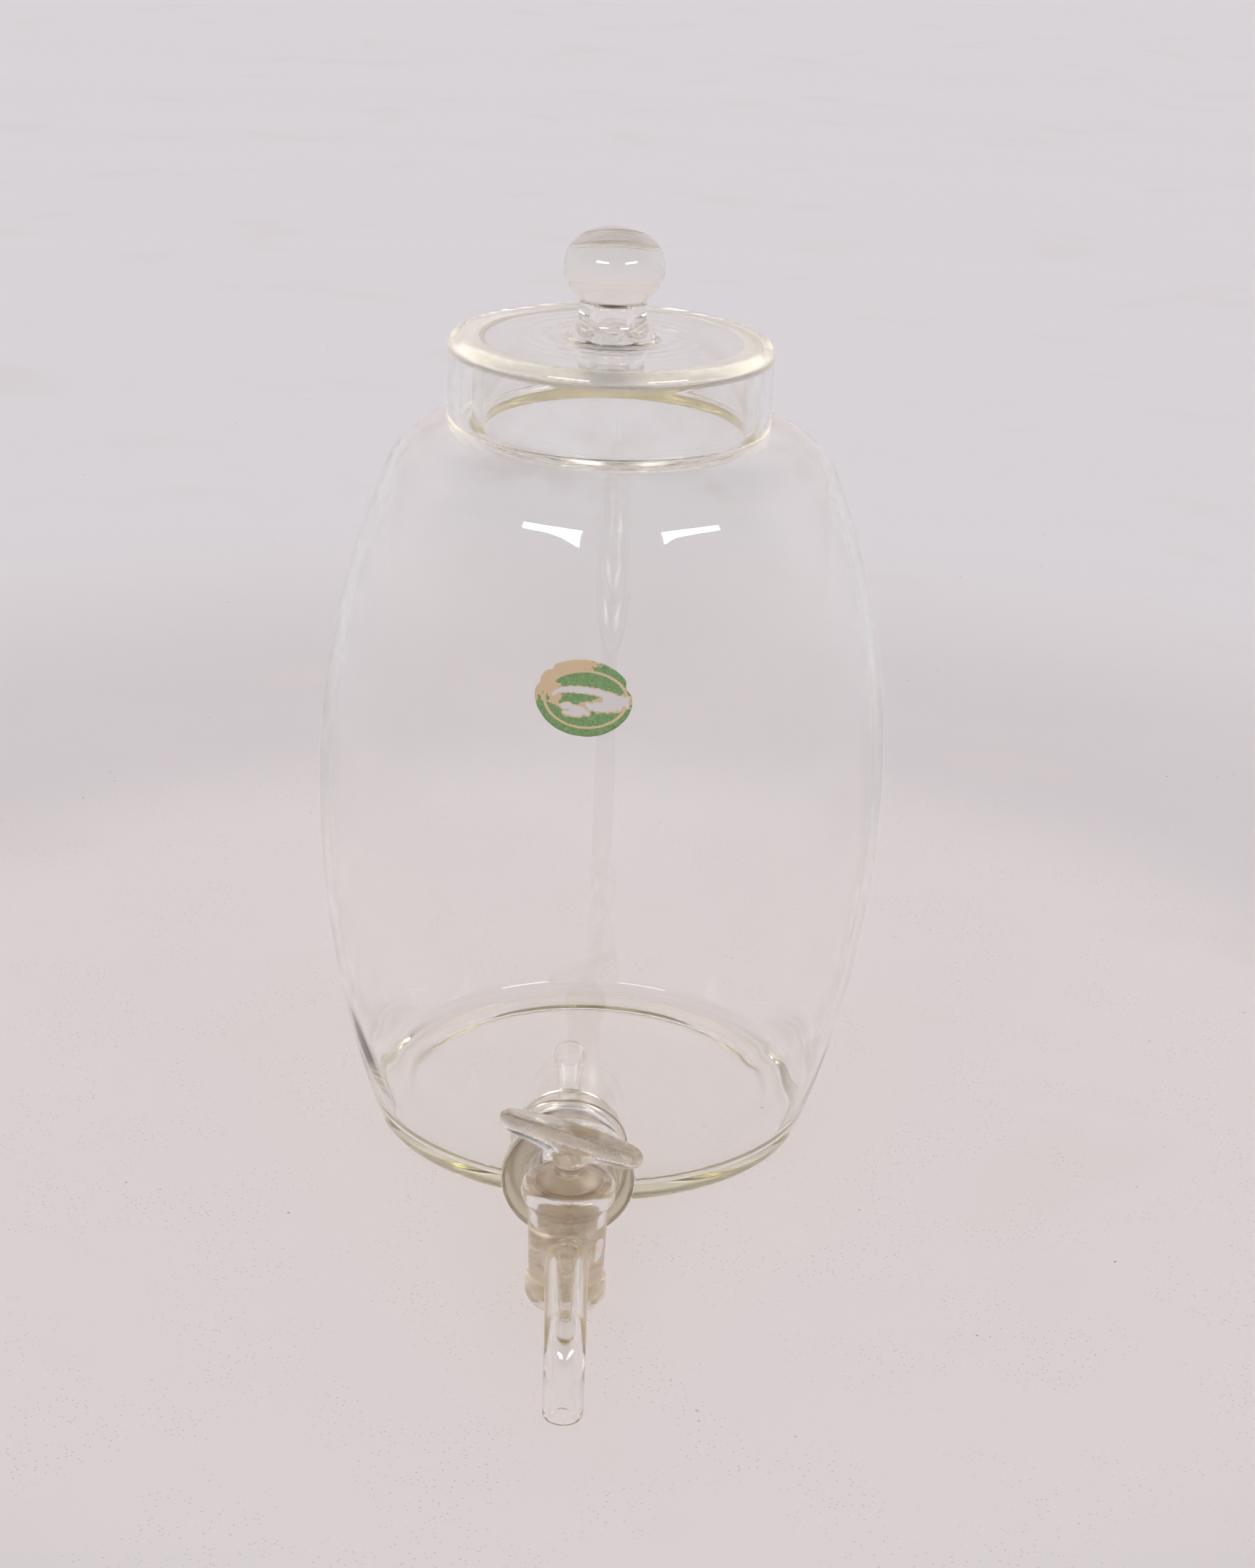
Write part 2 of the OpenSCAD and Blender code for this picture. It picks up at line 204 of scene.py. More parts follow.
class MeshMaker:
    """Collects grids of points and the faces between them, and makes one Blender object of them."""

    def __init__(self, name: str) -> None:
        """Starts an empty mesh with a name.

        Args:
            name: Name of the mesh and its object.
        """
        self.name = name
        self.blocks: list[Array] = []
        self.faces: list[Array] = []
        self.total = 0

    def add(self, points: Array) -> Array:
        """Adds points.

        Args:
            points: Array of any shape whose last axis holds x, y and z in millimetres.

        Returns:
            The points' numbers, in an array of the same shape without its last axis.
        """
        flat = points.reshape(-1, 3)
        numbers = np.arange(self.total, self.total + len(flat)).reshape(points.shape[:-1])
        self.blocks.append(flat)
        self.total += len(flat)
        return numbers

    def skin(self, numbers: Array, keep: Array | None = None, wrap: bool = True) -> None:
        """Lays a four-sided face between every two neighbouring rows and columns.

        Args:
            numbers: Point numbers in rows and columns.
            keep: Which faces to lay, or None for all.
            wrap: Whether the last column joins the first.
        """
        if wrap:
            numbers = np.concatenate([numbers, numbers[:, :1]], axis=1)
        quads = np.stack([numbers[:-1, :-1], numbers[1:, :-1], numbers[1:, 1:], numbers[:-1, 1:]], axis=-1)
        self.faces.append((quads if keep is None else quads[keep]).reshape(-1, 4))

    def make(self) -> bpy.types.Object:
        """Makes the object: faces with a doubled corner become triangles, and all faces are turned outwards.

        Returns:
            The new object, smooth shaded, at the origin.
        """
        quads = np.concatenate(self.faces)
        top = quads[:, 0] == quads[:, 3]
        bottom = quads[:, 1] == quads[:, 2]
        whole = quads[~(top | bottom)]
        triangles = np.concatenate([quads[top][:, :3], quads[bottom][:, [0, 1, 3]]])
        corners = np.concatenate([whole.ravel(), triangles.ravel()])
        sides = np.r_[np.full(len(whole), 4), np.full(len(triangles), 3)]
        mesh = bpy.data.meshes.new(self.name)
        vertices = np.concatenate(self.blocks) * MM
        mesh.vertices.add(len(vertices))
        mesh.vertices.foreach_set("co", vertices.astype(np.float32).ravel())
        mesh.loops.add(len(corners))
        mesh.loops.foreach_set("vertex_index", corners.astype(np.int32))
        mesh.polygons.add(len(sides))
        mesh.polygons.foreach_set("loop_start", np.r_[0, np.cumsum(sides)[:-1]].astype(np.int32))
        mesh.polygons.foreach_set("use_smooth", np.ones(len(sides), dtype=bool))
        mesh.update(calc_edges=True)
        shape = bmesh.new()
        shape.from_mesh(mesh)
        loose = [v for v in shape.verts if not v.link_faces]
        bmesh.ops.delete(shape, geom=loose, context="VERTS")
        bmesh.ops.recalc_face_normals(shape, faces=shape.faces)
        open_edges = sum(1 for edge in shape.edges if not edge.is_manifold)
        shape.to_mesh(mesh)
        shape.free()
        piece = bpy.data.objects.new(self.name, mesh)
        bpy.context.scene.collection.objects.link(piece)
        counted = (len(mesh.vertices), len(sides), open_edges)
        LOG.info("%s: %d points, %d faces, %d open edges", self.name, *counted)
        return piece


def turned(rows: Array, columns: int, axis: tuple[float, float] = (0.0, 0.0)) -> Array:
    """A grid of points turned about an upright axis: (x, y) = axis + radius * (cos t, sin t).

    Args:
        rows: Radius and height of each row.
        columns: Number of columns round the axis.
        axis: Place of the axis.

    Returns:
        Points in rows and columns.
    """
    angle = np.linspace(0.0, 2.0 * math.pi, columns, endpoint=False)
    radius, height = rows[:, :1], rows[:, -1:]
    x = axis[0] + radius * np.cos(angle)
    y = axis[1] + radius * np.sin(angle)
    return np.stack([x, y, np.broadcast_to(height, x.shape)], axis=-1)


def add_turned(maker: MeshMaker, grid: Array) -> Array:
    """Adds a turned grid, with a row of no radius held as a single point.

    Args:
        maker: Where to add it.
        grid: Points in rows and columns.

    Returns:
        Point numbers in rows and columns; a pole's row repeats one number.
    """
    numbers = maker.add(grid)
    for row in (0, -1):
        if np.ptp(grid[row], axis=0).max() < 1e-6:
            numbers[row] = numbers[row, 0]
    return numbers


def swung(points: Array, distance: float, degrees: Any) -> Array:
    """Points turned about an upright line on the -Y side.

    With dx and dy measured from the line, (x, y) = line + (dx cos a - dy sin a, dx sin a + dy cos a).

    Args:
        points: Points in millimetres.
        distance: How far from the origin the line stands, along -Y.
        degrees: Angle of the turn, or one for each point.

    Returns:
        The turned points.
    """
    turn = np.radians(degrees)
    dx, dy = points[..., 0], points[..., 1] + distance
    x, y = dx * np.cos(turn) - dy * np.sin(turn), dx * np.sin(turn) + dy * np.cos(turn) - distance
    return np.stack([x, y, points[..., 2]], axis=-1)


@dataclass(frozen=True)
class Bend:
    """Where a tube that leaves sideways turns down.

    Attributes:
        start: Distance from the wall's axis at which the bend starts.
        radius: Radius of the tube's centre line in the bend.
    """

    start: float
    radius: float


@dataclass(frozen=True)
class Port:
    """A tube let into a turned wall.

    Attributes:
        angle: Direction in which the tube leaves, in degrees from +X.
        height: Height of the tube's axis.
        half_width: Columns of the wall on each side that the opening takes.
        ease_out: Width of the easing between tube and outer face.
        ease_in: Width of the easing between tube and inner face.
        lip_in: 1 where the tube ends flush with the inner face, -1 where it stands out into the hollow.
        bend: Where the tube turns down, if it does.
        skew: Angle in degrees that the tube stands off the wall's radius.
        tuck: How much further in the tube's inner end reaches at its bottom than at its middle.
    """

    angle: float
    height: float
    half_width: int
    ease_out: float
    ease_in: float
    lip_in: int = 1
    bend: Bend | None = None
    skew: float = 0.0
    tuck: float = 0.0

    @property
    def out(self) -> Array:
        """Unit vector in which the tube leaves."""
        turn = math.radians(self.angle)
        return np.array([math.cos(turn), math.sin(turn), 0.0])

    @property
    def across(self) -> Array:
        """Level unit vector across the tube."""
        turn = math.radians(self.angle)
        return np.array([-math.sin(turn), math.cos(turn), 0.0])

    def rings(self, outline: Array, turn: Array, axis: Array) -> Array:
        """Rings of a tube.

        A ring's centre goes straight out, then round the bend, then straight down; its points are
        centre + radius * (cos t * across + sin t * up), where up stays square to the tube. Behind the
        wall the lower half of a ring goes tuck * sin(t)^2 further in.

        Args:
            outline: Radius and distance along the tube of each ring.
            turn: Angle of each point of a ring.
            axis: Place of the wall's axis.

        Returns:
            Points in rings.
        """
        radius, along = outline[:, 0], outline[:, 1]
        fall = np.zeros_like(along)
        straight, drop = along.copy(), np.zeros_like(along)
        if self.bend is not None:
            fall = np.clip((along - self.bend.start) / self.bend.radius, 0.0, 0.5 * math.pi)
            drop = np.maximum(along - self.bend.start - 0.5 * math.pi * self.bend.radius, 0.0)
            straight = np.minimum(along, self.bend.start) + self.bend.radius * np.sin(fall)
            drop = drop + self.bend.radius * (1.0 - np.cos(fall))
        z_axis = np.array([0.0, 0.0, 1.0])
        centre = axis + straight[:, None] * self.out + (self.height - drop)[:, None] * z_axis
        up = np.sin(fall)[:, None] * self.out + np.cos(fall)[:, None] * z_axis
        ring = np.cos(turn)[None, :, None] * self.across + np.sin(turn)[None, :, None] * up[:, None, :]
        behind = np.clip((PIVOT - 2.0 - along) / 6.0, 0.0, 1.0)[:, None]
        inwards = self.tuck * behind * np.minimum(np.sin(turn), 0.0) ** 2
        points = centre[:, None, :] + radius[:, None, None] * ring - inwards[..., None] * self.out
        return swung(points, PIVOT, self.skew)


@dataclass
class TurnedWall:
    """A turned wall with outer and inner faces, which tubes can be let into without a seam.

    Attributes:
        maker: The mesh that the wall goes into.
        rows: Radius and height of each row, out along the outer face and back along the inner face.
        columns: Columns round the axis.
        axis: Place of the upright axis.
        closed: Whether the last row joins the first.
    """

    maker: MeshMaker
    rows: Array
    columns: int
    axis: tuple[float, float] = (0.0, 0.0)
    closed: bool = False
    keep: Array = field(init=False)
    numbers: Array = field(init=False)

    def __post_init__(self) -> None:
        """Adds the wall's points and marks every face as kept."""
        grid = turned(self.rows, self.columns, self.axis)
        self.numbers = self.maker.add(grid) if self.closed else add_turned(self.maker, grid)
        self.keep = np.ones((len(self.rows) - (0 if self.closed else 1), self.columns), dtype=bool)

    def _frame(self, port: Port, rows: Array) -> tuple[Array, Array, Array]:
        """The rectangle of rows and columns that a port takes out of one face.

        Args:
            port: The port.
            rows: Row numbers from the lowest to the highest.

        Returns:
            Numbers of the points round the rectangle, and their turn from the port's direction and height.
        """
        centre = int(round(port.angle % 360.0 / 360.0 * self.columns))
        columns = (np.arange(centre - port.half_width, centre + port.half_width + 1)) % self.columns
        low, high = min(rows[0], rows[-1]), max(rows[0], rows[-1])
        self.keep[low:high, columns[:-1]] = False
        width, side = 2 * port.half_width, len(rows) - 1
        edge = [(rows[0], columns[:-1]), (rows[:-1], columns[-1]),
                (rows[-1], columns[:0:-1]), (rows[:0:-1], columns[0])]
        count = np.arange(-port.half_width, port.half_width + 1)
        turns = [count[:-1], np.full(side, count[-1]), count[:0:-1], np.full(side, count[0])]
        heights = [np.full(width, rows[0]), rows[:-1], np.full(width, rows[-1]), rows[:0:-1]]
        numbers = np.concatenate([self.numbers[row, column] for row, column in edge])
        turn = np.concatenate(turns) * 2.0 * math.pi / self.columns
        return numbers, turn, self.rows[np.concatenate(heights), -1]

    def _join(
        self, port: Port, rows: Array, ring: Array, radius: float, ease: float, lip: int
    ) -> tuple[Array, Array]:
        """Rings that lead from the rectangle in a face to the start of a tube.

        In the flat of the face the rings blend straight from the rectangle to a circle one easing wider
        than the tube. From there the point is (1-t)^2 * wall + 2t(1-t) * corner + t^2 * tube, where corner
        is where the tube would meet the face, and it turns by t * skew.

        Args:
            port: The port.
            rows: Row numbers of the face, from the lowest to the highest.
            ring: Angle of each point round the tube.
            radius: The tube's radius where it meets the face.
            ease: Width of the easing.
            lip: 1 if the tube stands out of this face away from the axis, -1 if it goes towards the axis.

        Returns:
            Point numbers of the rectangle, and the points of the rings that follow it.
        """
        numbers, turn, height = self._frame(port, rows)
        order = rows if rows[0] < rows[-1] else rows[::-1]
        face = self.rows[order[0] : order[-1] + 1]
        length = np.r_[0.0, np.cumsum(np.linalg.norm(np.diff(face[:, [0, -1]], axis=0), axis=1))]
        rise = slice(None) if face[-1, -1] > face[0, -1] else slice(None, None, -1)

        def run_at(z: Array) -> Array:
            """Length along the face at a height."""
            return np.interp(z, face[rise, -1], length[rise])

        def on_face(angle: Array, run: Array) -> Array:
            """Points of the face.

            Args:
                angle: Turn of each from the port's direction.
                run: Length of each along the face.

            Returns:
                The points.
            """
            r = np.interp(run, length, face[:, 0])
            z = np.interp(run, length, face[:, -1])
            flat = (r * np.cos(angle))[..., None] * port.out + (r * np.sin(angle))[..., None] * port.across
            return flat + z[..., None] * np.array([0.0, 0.0, 1.0]) + self._axis

        corner_z = port.height + radius * np.sin(ring)
        corner_r = np.interp(run_at(corner_z), length, face[:, 0])
        corner_turn = np.arcsin(np.clip(radius * np.cos(ring) / corner_r, -1.0, 1.0))
        corner = on_face(corner_turn, run_at(corner_z))
        wide_turn = corner_turn + ease * np.cos(ring) / corner_r
        wide_run = run_at(corner_z + ease * np.sin(ring))
        blend = np.linspace(0.0, 1.0, 9)[1:, None]
        patch_run = (1 - blend) * run_at(height) + blend * wide_run
        patch = on_face((1 - blend) * turn + blend * wide_turn, patch_run)
        tube = corner + lip * ease * port.out
        t = np.linspace(0.0, 1.0, 9)[1:, None, None]
        eased = (1 - t) ** 2 * patch[-1] + 2 * t * (1 - t) * corner + t**2 * tube
        return numbers, np.concatenate([patch, swung(eased, PIVOT, port.skew * t[..., 0])])

    @property
    def _axis(self) -> Array:
        """The axis as a point on the ground."""
        return np.array([self.axis[0], self.axis[1], 0.0])

    @staticmethod
    def ring_angles(rows: int, columns: int) -> Array:
        """Angles of the points round a tube: a quarter turn along each side of the rectangle.

        Args:
            rows: Rows that the rectangle is high.
            columns: Columns that it is wide.

        Returns:
            One angle for each point of the rectangle.
        """
        sides = [(-135.0, columns), (-45.0, rows), (45.0, columns), (135.0, rows)]
        return np.radians(np.concatenate([np.linspace(a, a + 90.0, n, endpoint=False) for a, n in sides]))

    def let_in(self, port: Port, outer: Array, inner: Array, outline: Array) -> None:
        """Lets a tube in that runs from the outer face, along its outline, back to the inner face.

        Args:
            port: The port.
            outer: Row numbers of the outer face, from the lowest to the highest.
            inner: As many row numbers of the inner face, from the lowest to the highest.
            outline: Radius and distance along the tube of its rings.
        """
        ring = self.ring_angles(len(outer) - 1, 2 * port.half_width)
        start, first = self._join(port, outer, ring, outline[0, 0], port.ease_out, 1)
        end, last = self._join(port, inner, ring, outline[-1, 0], port.ease_in, port.lip_in)
        body = port.rings(outline, ring, self._axis)
        numbers = self.maker.add(np.concatenate([first, body, last[::-1]]))
        self.maker.skin(np.concatenate([start[None, :], numbers, end[None, :]]))

    def bore_through(self, port: Port, rows: Array, radius: float) -> None:
        """Bores straight through a solid turned piece, from one side to the other.

        Args:
            port: The port on the first side.
            rows: Row numbers of the face, from the lowest to the highest.
            radius: Radius of the bore.
        """
        far = Port(port.angle + 180.0, port.height, port.half_width, port.ease_out, port.ease_in)
        width = 2 * port.half_width
        ring = self.ring_angles(len(rows) - 1, width)
        start, first = self._join(port, rows, ring, radius, port.ease_out, -1)
        end, last = self._join(far, rows, ring, radius, port.ease_out, -1)
        mirrored = (width - np.arange(len(ring))) % len(ring)
        numbers = self.maker.add(np.concatenate([first, last[::-1][:, mirrored]]))
        self.maker.skin(np.concatenate([start[None, :], numbers, end[mirrored][None, :]]))

    def finish(self) -> None:
        """Lays the faces of the wall itself."""
        numbers = np.concatenate([self.numbers, self.numbers[:1]]) if self.closed else self.numbers
        self.maker.skin(numbers, self.keep)


# --------------------------------------------------------------------------------------------------
# Shader maths
# --------------------------------------------------------------------------------------------------


class Wire:
    """An output socket that Python's operators act on, each adding a Math node."""

    def __init__(self, graph: Graph, socket: bpy.types.NodeSocket) -> None:
        """Wraps a socket of a graph."""
        self.graph = graph
        self.socket = socket

    def _math(self, operation: str, *values: Value) -> Wire:
        """A Math node's result for an operation on values."""
        return self.graph.node("ShaderNodeMath", {"operation": operation}, dict(enumerate(values)))

    def __add__(self, other: Value) -> Wire:
        """self + other."""
        return self._math("ADD", self, other)

    __radd__ = __add__

    def __sub__(self, other: Value) -> Wire:
        """self - other."""
        return self._math("SUBTRACT", self, other)

    def __rsub__(self, other: Value) -> Wire:
        """other - self."""
        return self._math("SUBTRACT", other, self)

    def __mul__(self, other: Value) -> Wire:
        """self * other."""
        return self._math("MULTIPLY", self, other)

    __rmul__ = __mul__

    def __truediv__(self, other: Value) -> Wire:
        """self / other."""
        return self._math("DIVIDE", self, other)

    def __abs__(self) -> Wire:
        """The size of self without its sign."""
        return self._math("ABSOLUTE", self)

    def least(self, other: Value) -> Wire:
        """The smaller of self and other."""
        return self._math("MINIMUM", self, other)

    def most(self, other: Value) -> Wire:
        """The larger of self and other."""
        return self._math("MAXIMUM", self, other)

    def root(self) -> Wire:
        """The square root of self."""
        return self._math("SQRT", self)

    def ramp(self, low: float, high: float) -> Wire:
        """0 where self is at low, 1 where it is at high, and a smooth S between.

        Args:
            low: Where the result is 0.
            high: Where the result is 1; it may be less than low.

        Returns:
            The share.
        """
        first, last = min(low, high), max(low, high)
        limits = {0: self, 1: first, 2: last, 3: 0.0, 4: 1.0}
        share = self.graph.node("ShaderNodeMapRange", {"interpolation_type": "SMOOTHSTEP"}, limits)
        return share if high > low else 1.0 - share


Value = "Wire | float | tuple[float, ...]"


class Graph:
    """The node tree of a material or of the surroundings, built by calls."""

    def __init__(self, owner: bpy.types.Material | bpy.types.World) -> None:
        """Empties the owner's tree.

        Args:
            owner: The material or the surroundings whose tree is built.
        """
        owner.use_nodes = True
        self.owner = owner
        self.tree = owner.node_tree
        self.tree.nodes.clear()

    @classmethod
    def material(cls, name: str) -> Graph:
        """The empty graph of a new material."""
        return cls(bpy.data.materials.new(name))

    def node(self, kind: str, settings: dict[str, Any], inputs: dict[Any, Any], output: Any = 0) -> Wire:
        """Adds a node.

        Args:
            kind: The node's type.
            settings: Properties set before its sockets, and "stops" for a ramp: pairs of place and colour.
            inputs: A value, a colour or a Wire for each socket, by name or number.
            output: Name or number of the output that is wanted.

        Returns:
            That output.
        """
        node = self.tree.nodes.new(kind)
        for name, setting in settings.items():
            if name == "stops":
                ramp = node.color_ramp.elements
                while len(ramp) < len(setting):
                    ramp.new(0.5)
                for element, (place, colour) in zip(ramp, setting):
                    element.position = place
                    element.color = (*colour[:3], 1.0)
            else:
                setattr(node, name, setting)
        for name, value in inputs.items():
            if isinstance(value, Wire):
                self.tree.links.new(value.socket, node.inputs[name])
            else:
                wants_alpha = node.inputs[name].type == "RGBA" and len(value) == 3
                node.inputs[name].default_value = (*value, 1.0) if wants_alpha else value
        return Wire(self, node.outputs[output])

    def place(self, kind: str = "Object") -> tuple[Wire, Wire, Wire]:
        """x, y and z of the point in metres in the part's frame, or of the surroundings' direction.

        Args:
            kind: Output of the coordinate node: Object on a piece, Generated for the surroundings.

        Returns:
            x, y and z.
        """
        split = self.tree.nodes.new("ShaderNodeSeparateXYZ")
        point = self.node("ShaderNodeTexCoord", {}, {}, kind)
        self.tree.links.new(point.socket, split.inputs[0])
        return Wire(self, split.outputs[0]), Wire(self, split.outputs[1]), Wire(self, split.outputs[2])

    def socket_place(self) -> tuple[Wire, Wire, Wire]:
        """x, y and z of the point in metres, turned back so that the socket's axis lies along -Y.

        Returns:
            x, y and z.
        """
        x, y, z = self.place()
        cosine, sine, out = math.cos(math.radians(SKEW)), math.sin(math.radians(SKEW)), y + PIVOT * MM
        return x * cosine + out * sine, out * cosine - x * sine - PIVOT * MM, z

    def noise(self, size: float, detail: float = 3.0, roughness: float = 0.5) -> Wire:
        """Noise between 0 and 1 whose grain is about size metres.

        Args:
            size: Grain in metres.
            detail: Octaves added.
            roughness: Share that each finer octave keeps.

        Returns:
            The noise.
        """
        where = self.node("ShaderNodeTexCoord", {}, {}, "Object")
        inputs = {"Vector": where, "Scale": 1.0 / size, "Detail": detail, "Roughness": roughness}
        return self.node("ShaderNodeTexNoise", {}, inputs)

    def specks(self, spacing: float, size: float) -> Wire:
        """1 inside scattered specks, one for each cell of the given spacing.

        Args:
            spacing: Size of a cell in metres.
            size: Speck's radius as a share of a cell.

        Returns:
            The mask.
        """
        where = self.node("ShaderNodeTexCoord", {}, {}, "Object")
        inputs = {"Vector": where, "Scale": 1.0 / spacing, "Randomness": 1.0}
        return self.node("ShaderNodeTexVoronoi", {}, inputs, "Distance").ramp(size, size * 0.6)

    def near(self, x: Wire, y: Wire, spot: tuple[float, float], size: tuple[float, float]) -> Wire:
        """Distance from a spot, as a share of the spot's half width and half height."""
        across, along = (x - spot[0]) / size[0], (y - spot[1]) / size[1]
        return (across * across + along * along).root()

    def mix(self, share: Value, first: Any, second: Any) -> Wire:
        """A colour that goes from first to second.

        Args:
            share: 0 for first, 1 for second.
            first: A colour or a Wire.
            second: A colour or a Wire.

        Returns:
            The colour.
        """
        inputs = {"Factor": share, 6: first, 7: second}
        return self.node("ShaderNodeMix", {"data_type": "RGBA"}, inputs, 2)

    def bump(self, height: Wire, distance: float) -> Wire:
        """A normal bent by a height, where distance is the height in metres that 1 stands for."""
        return self.node("ShaderNodeBump", {}, {"Height": height, "Distance": distance})

    def principled(self, inputs: dict[str, Any]) -> Wire:
        """A Principled shader with these sockets set."""
        return self.node("ShaderNodeBsdfPrincipled", {}, inputs)

    def output(self, surface: Wire, volume: Wire | None = None) -> Any:
        """Ends the tree and hands over its owner.

        Args:
            surface: The shader of the surface or of the surroundings.
            volume: The shader inside, or None.

        Returns:
            The owner.
        """
        inputs = {"Surface": surface} if volume is None else {"Surface": surface, "Volume": volume}
        of_world = isinstance(self.owner, bpy.types.World)
        end = self.tree.nodes.new("ShaderNodeOutputWorld" if of_world else "ShaderNodeOutputMaterial")
        for name, wire in inputs.items():
            self.tree.links.new(wire.socket, end.inputs[name])
        return self.owner


POLISHED = (1.0, 1.0, 1.0)  # tint of a clean polished face


@dataclass(frozen=True)
class GlassFinish:
    """Clear blown soda glass that lets lamps through and darkens with depth.

    Attributes:
        depth: Colour that long paths through the glass tend to.
        density: How fast they do, per metre.
        shade: Tint that one face leaves on lamp light.
        ior: Index of refraction.
    """

    depth: tuple[float, float, float]
    density: float
    shade: tuple[float, float, float] = (0.985, 0.98, 0.975)
    ior: float = 1.51

    def make(
        self, graph: Graph, colour: Wire, roughness: Wire, normal: Wire | None = None
    ) -> bpy.types.Material:
        """Makes the material.

        Args:
            graph: The material's graph.
            colour: Base colour.
            roughness: Roughness.
            normal: A bent normal, or None.

        Returns:
            The material.
        """
        inputs = {"Base Color": colour, "Roughness": roughness, "IOR": self.ior, "Transmission Weight": 1.0}
        if normal is not None:
            inputs["Normal"] = normal
        body = graph.principled(inputs)
        shade = graph.node("ShaderNodeBsdfTransparent", {}, {"Color": self.shade})
        ray = graph.node("ShaderNodeLightPath", {}, {}, "Is Shadow Ray")
        surface = graph.node("ShaderNodeMixShader", {}, {0: ray, 1: body, 2: shade})
        volume = graph.node("ShaderNodeVolumeAbsorption", {}, {"Color": self.depth, "Density": self.density})
        return graph.output(surface, volume)


def dress(piece: bpy.types.Object, material: bpy.types.Material) -> None:
    """Gives a piece its only material."""
    piece.data.materials.clear()
    piece.data.materials.append(material)


# --------------------------------------------------------------------------------------------------
# Pieces
# --------------------------------------------------------------------------------------------------


class Body(Enum):
    """Bodies of the part that pieces ride on."""

    JAR = "jar"
    LID = "lid"
    STOPCOCK = "stopcock"
    KEY = "key"


class Slot(Enum):
    """Names of the glass and paper finishes; no piece reads them."""

    CLEAR = "clear_glass"
    GROUND = "ground_glass"
    PAPER = "label_paper"


def settle(piece: bpy.types.Object, body: Body, nodes: Sequence[str]) -> None:
    """Rides a piece on its body, and lets it stand for nodes of the part.

    Args:
        piece: The piece.
        body: The body it rides on.
        nodes: Nodes that it stands for.
    """
    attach(piece, body.value)
    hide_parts(*nodes)


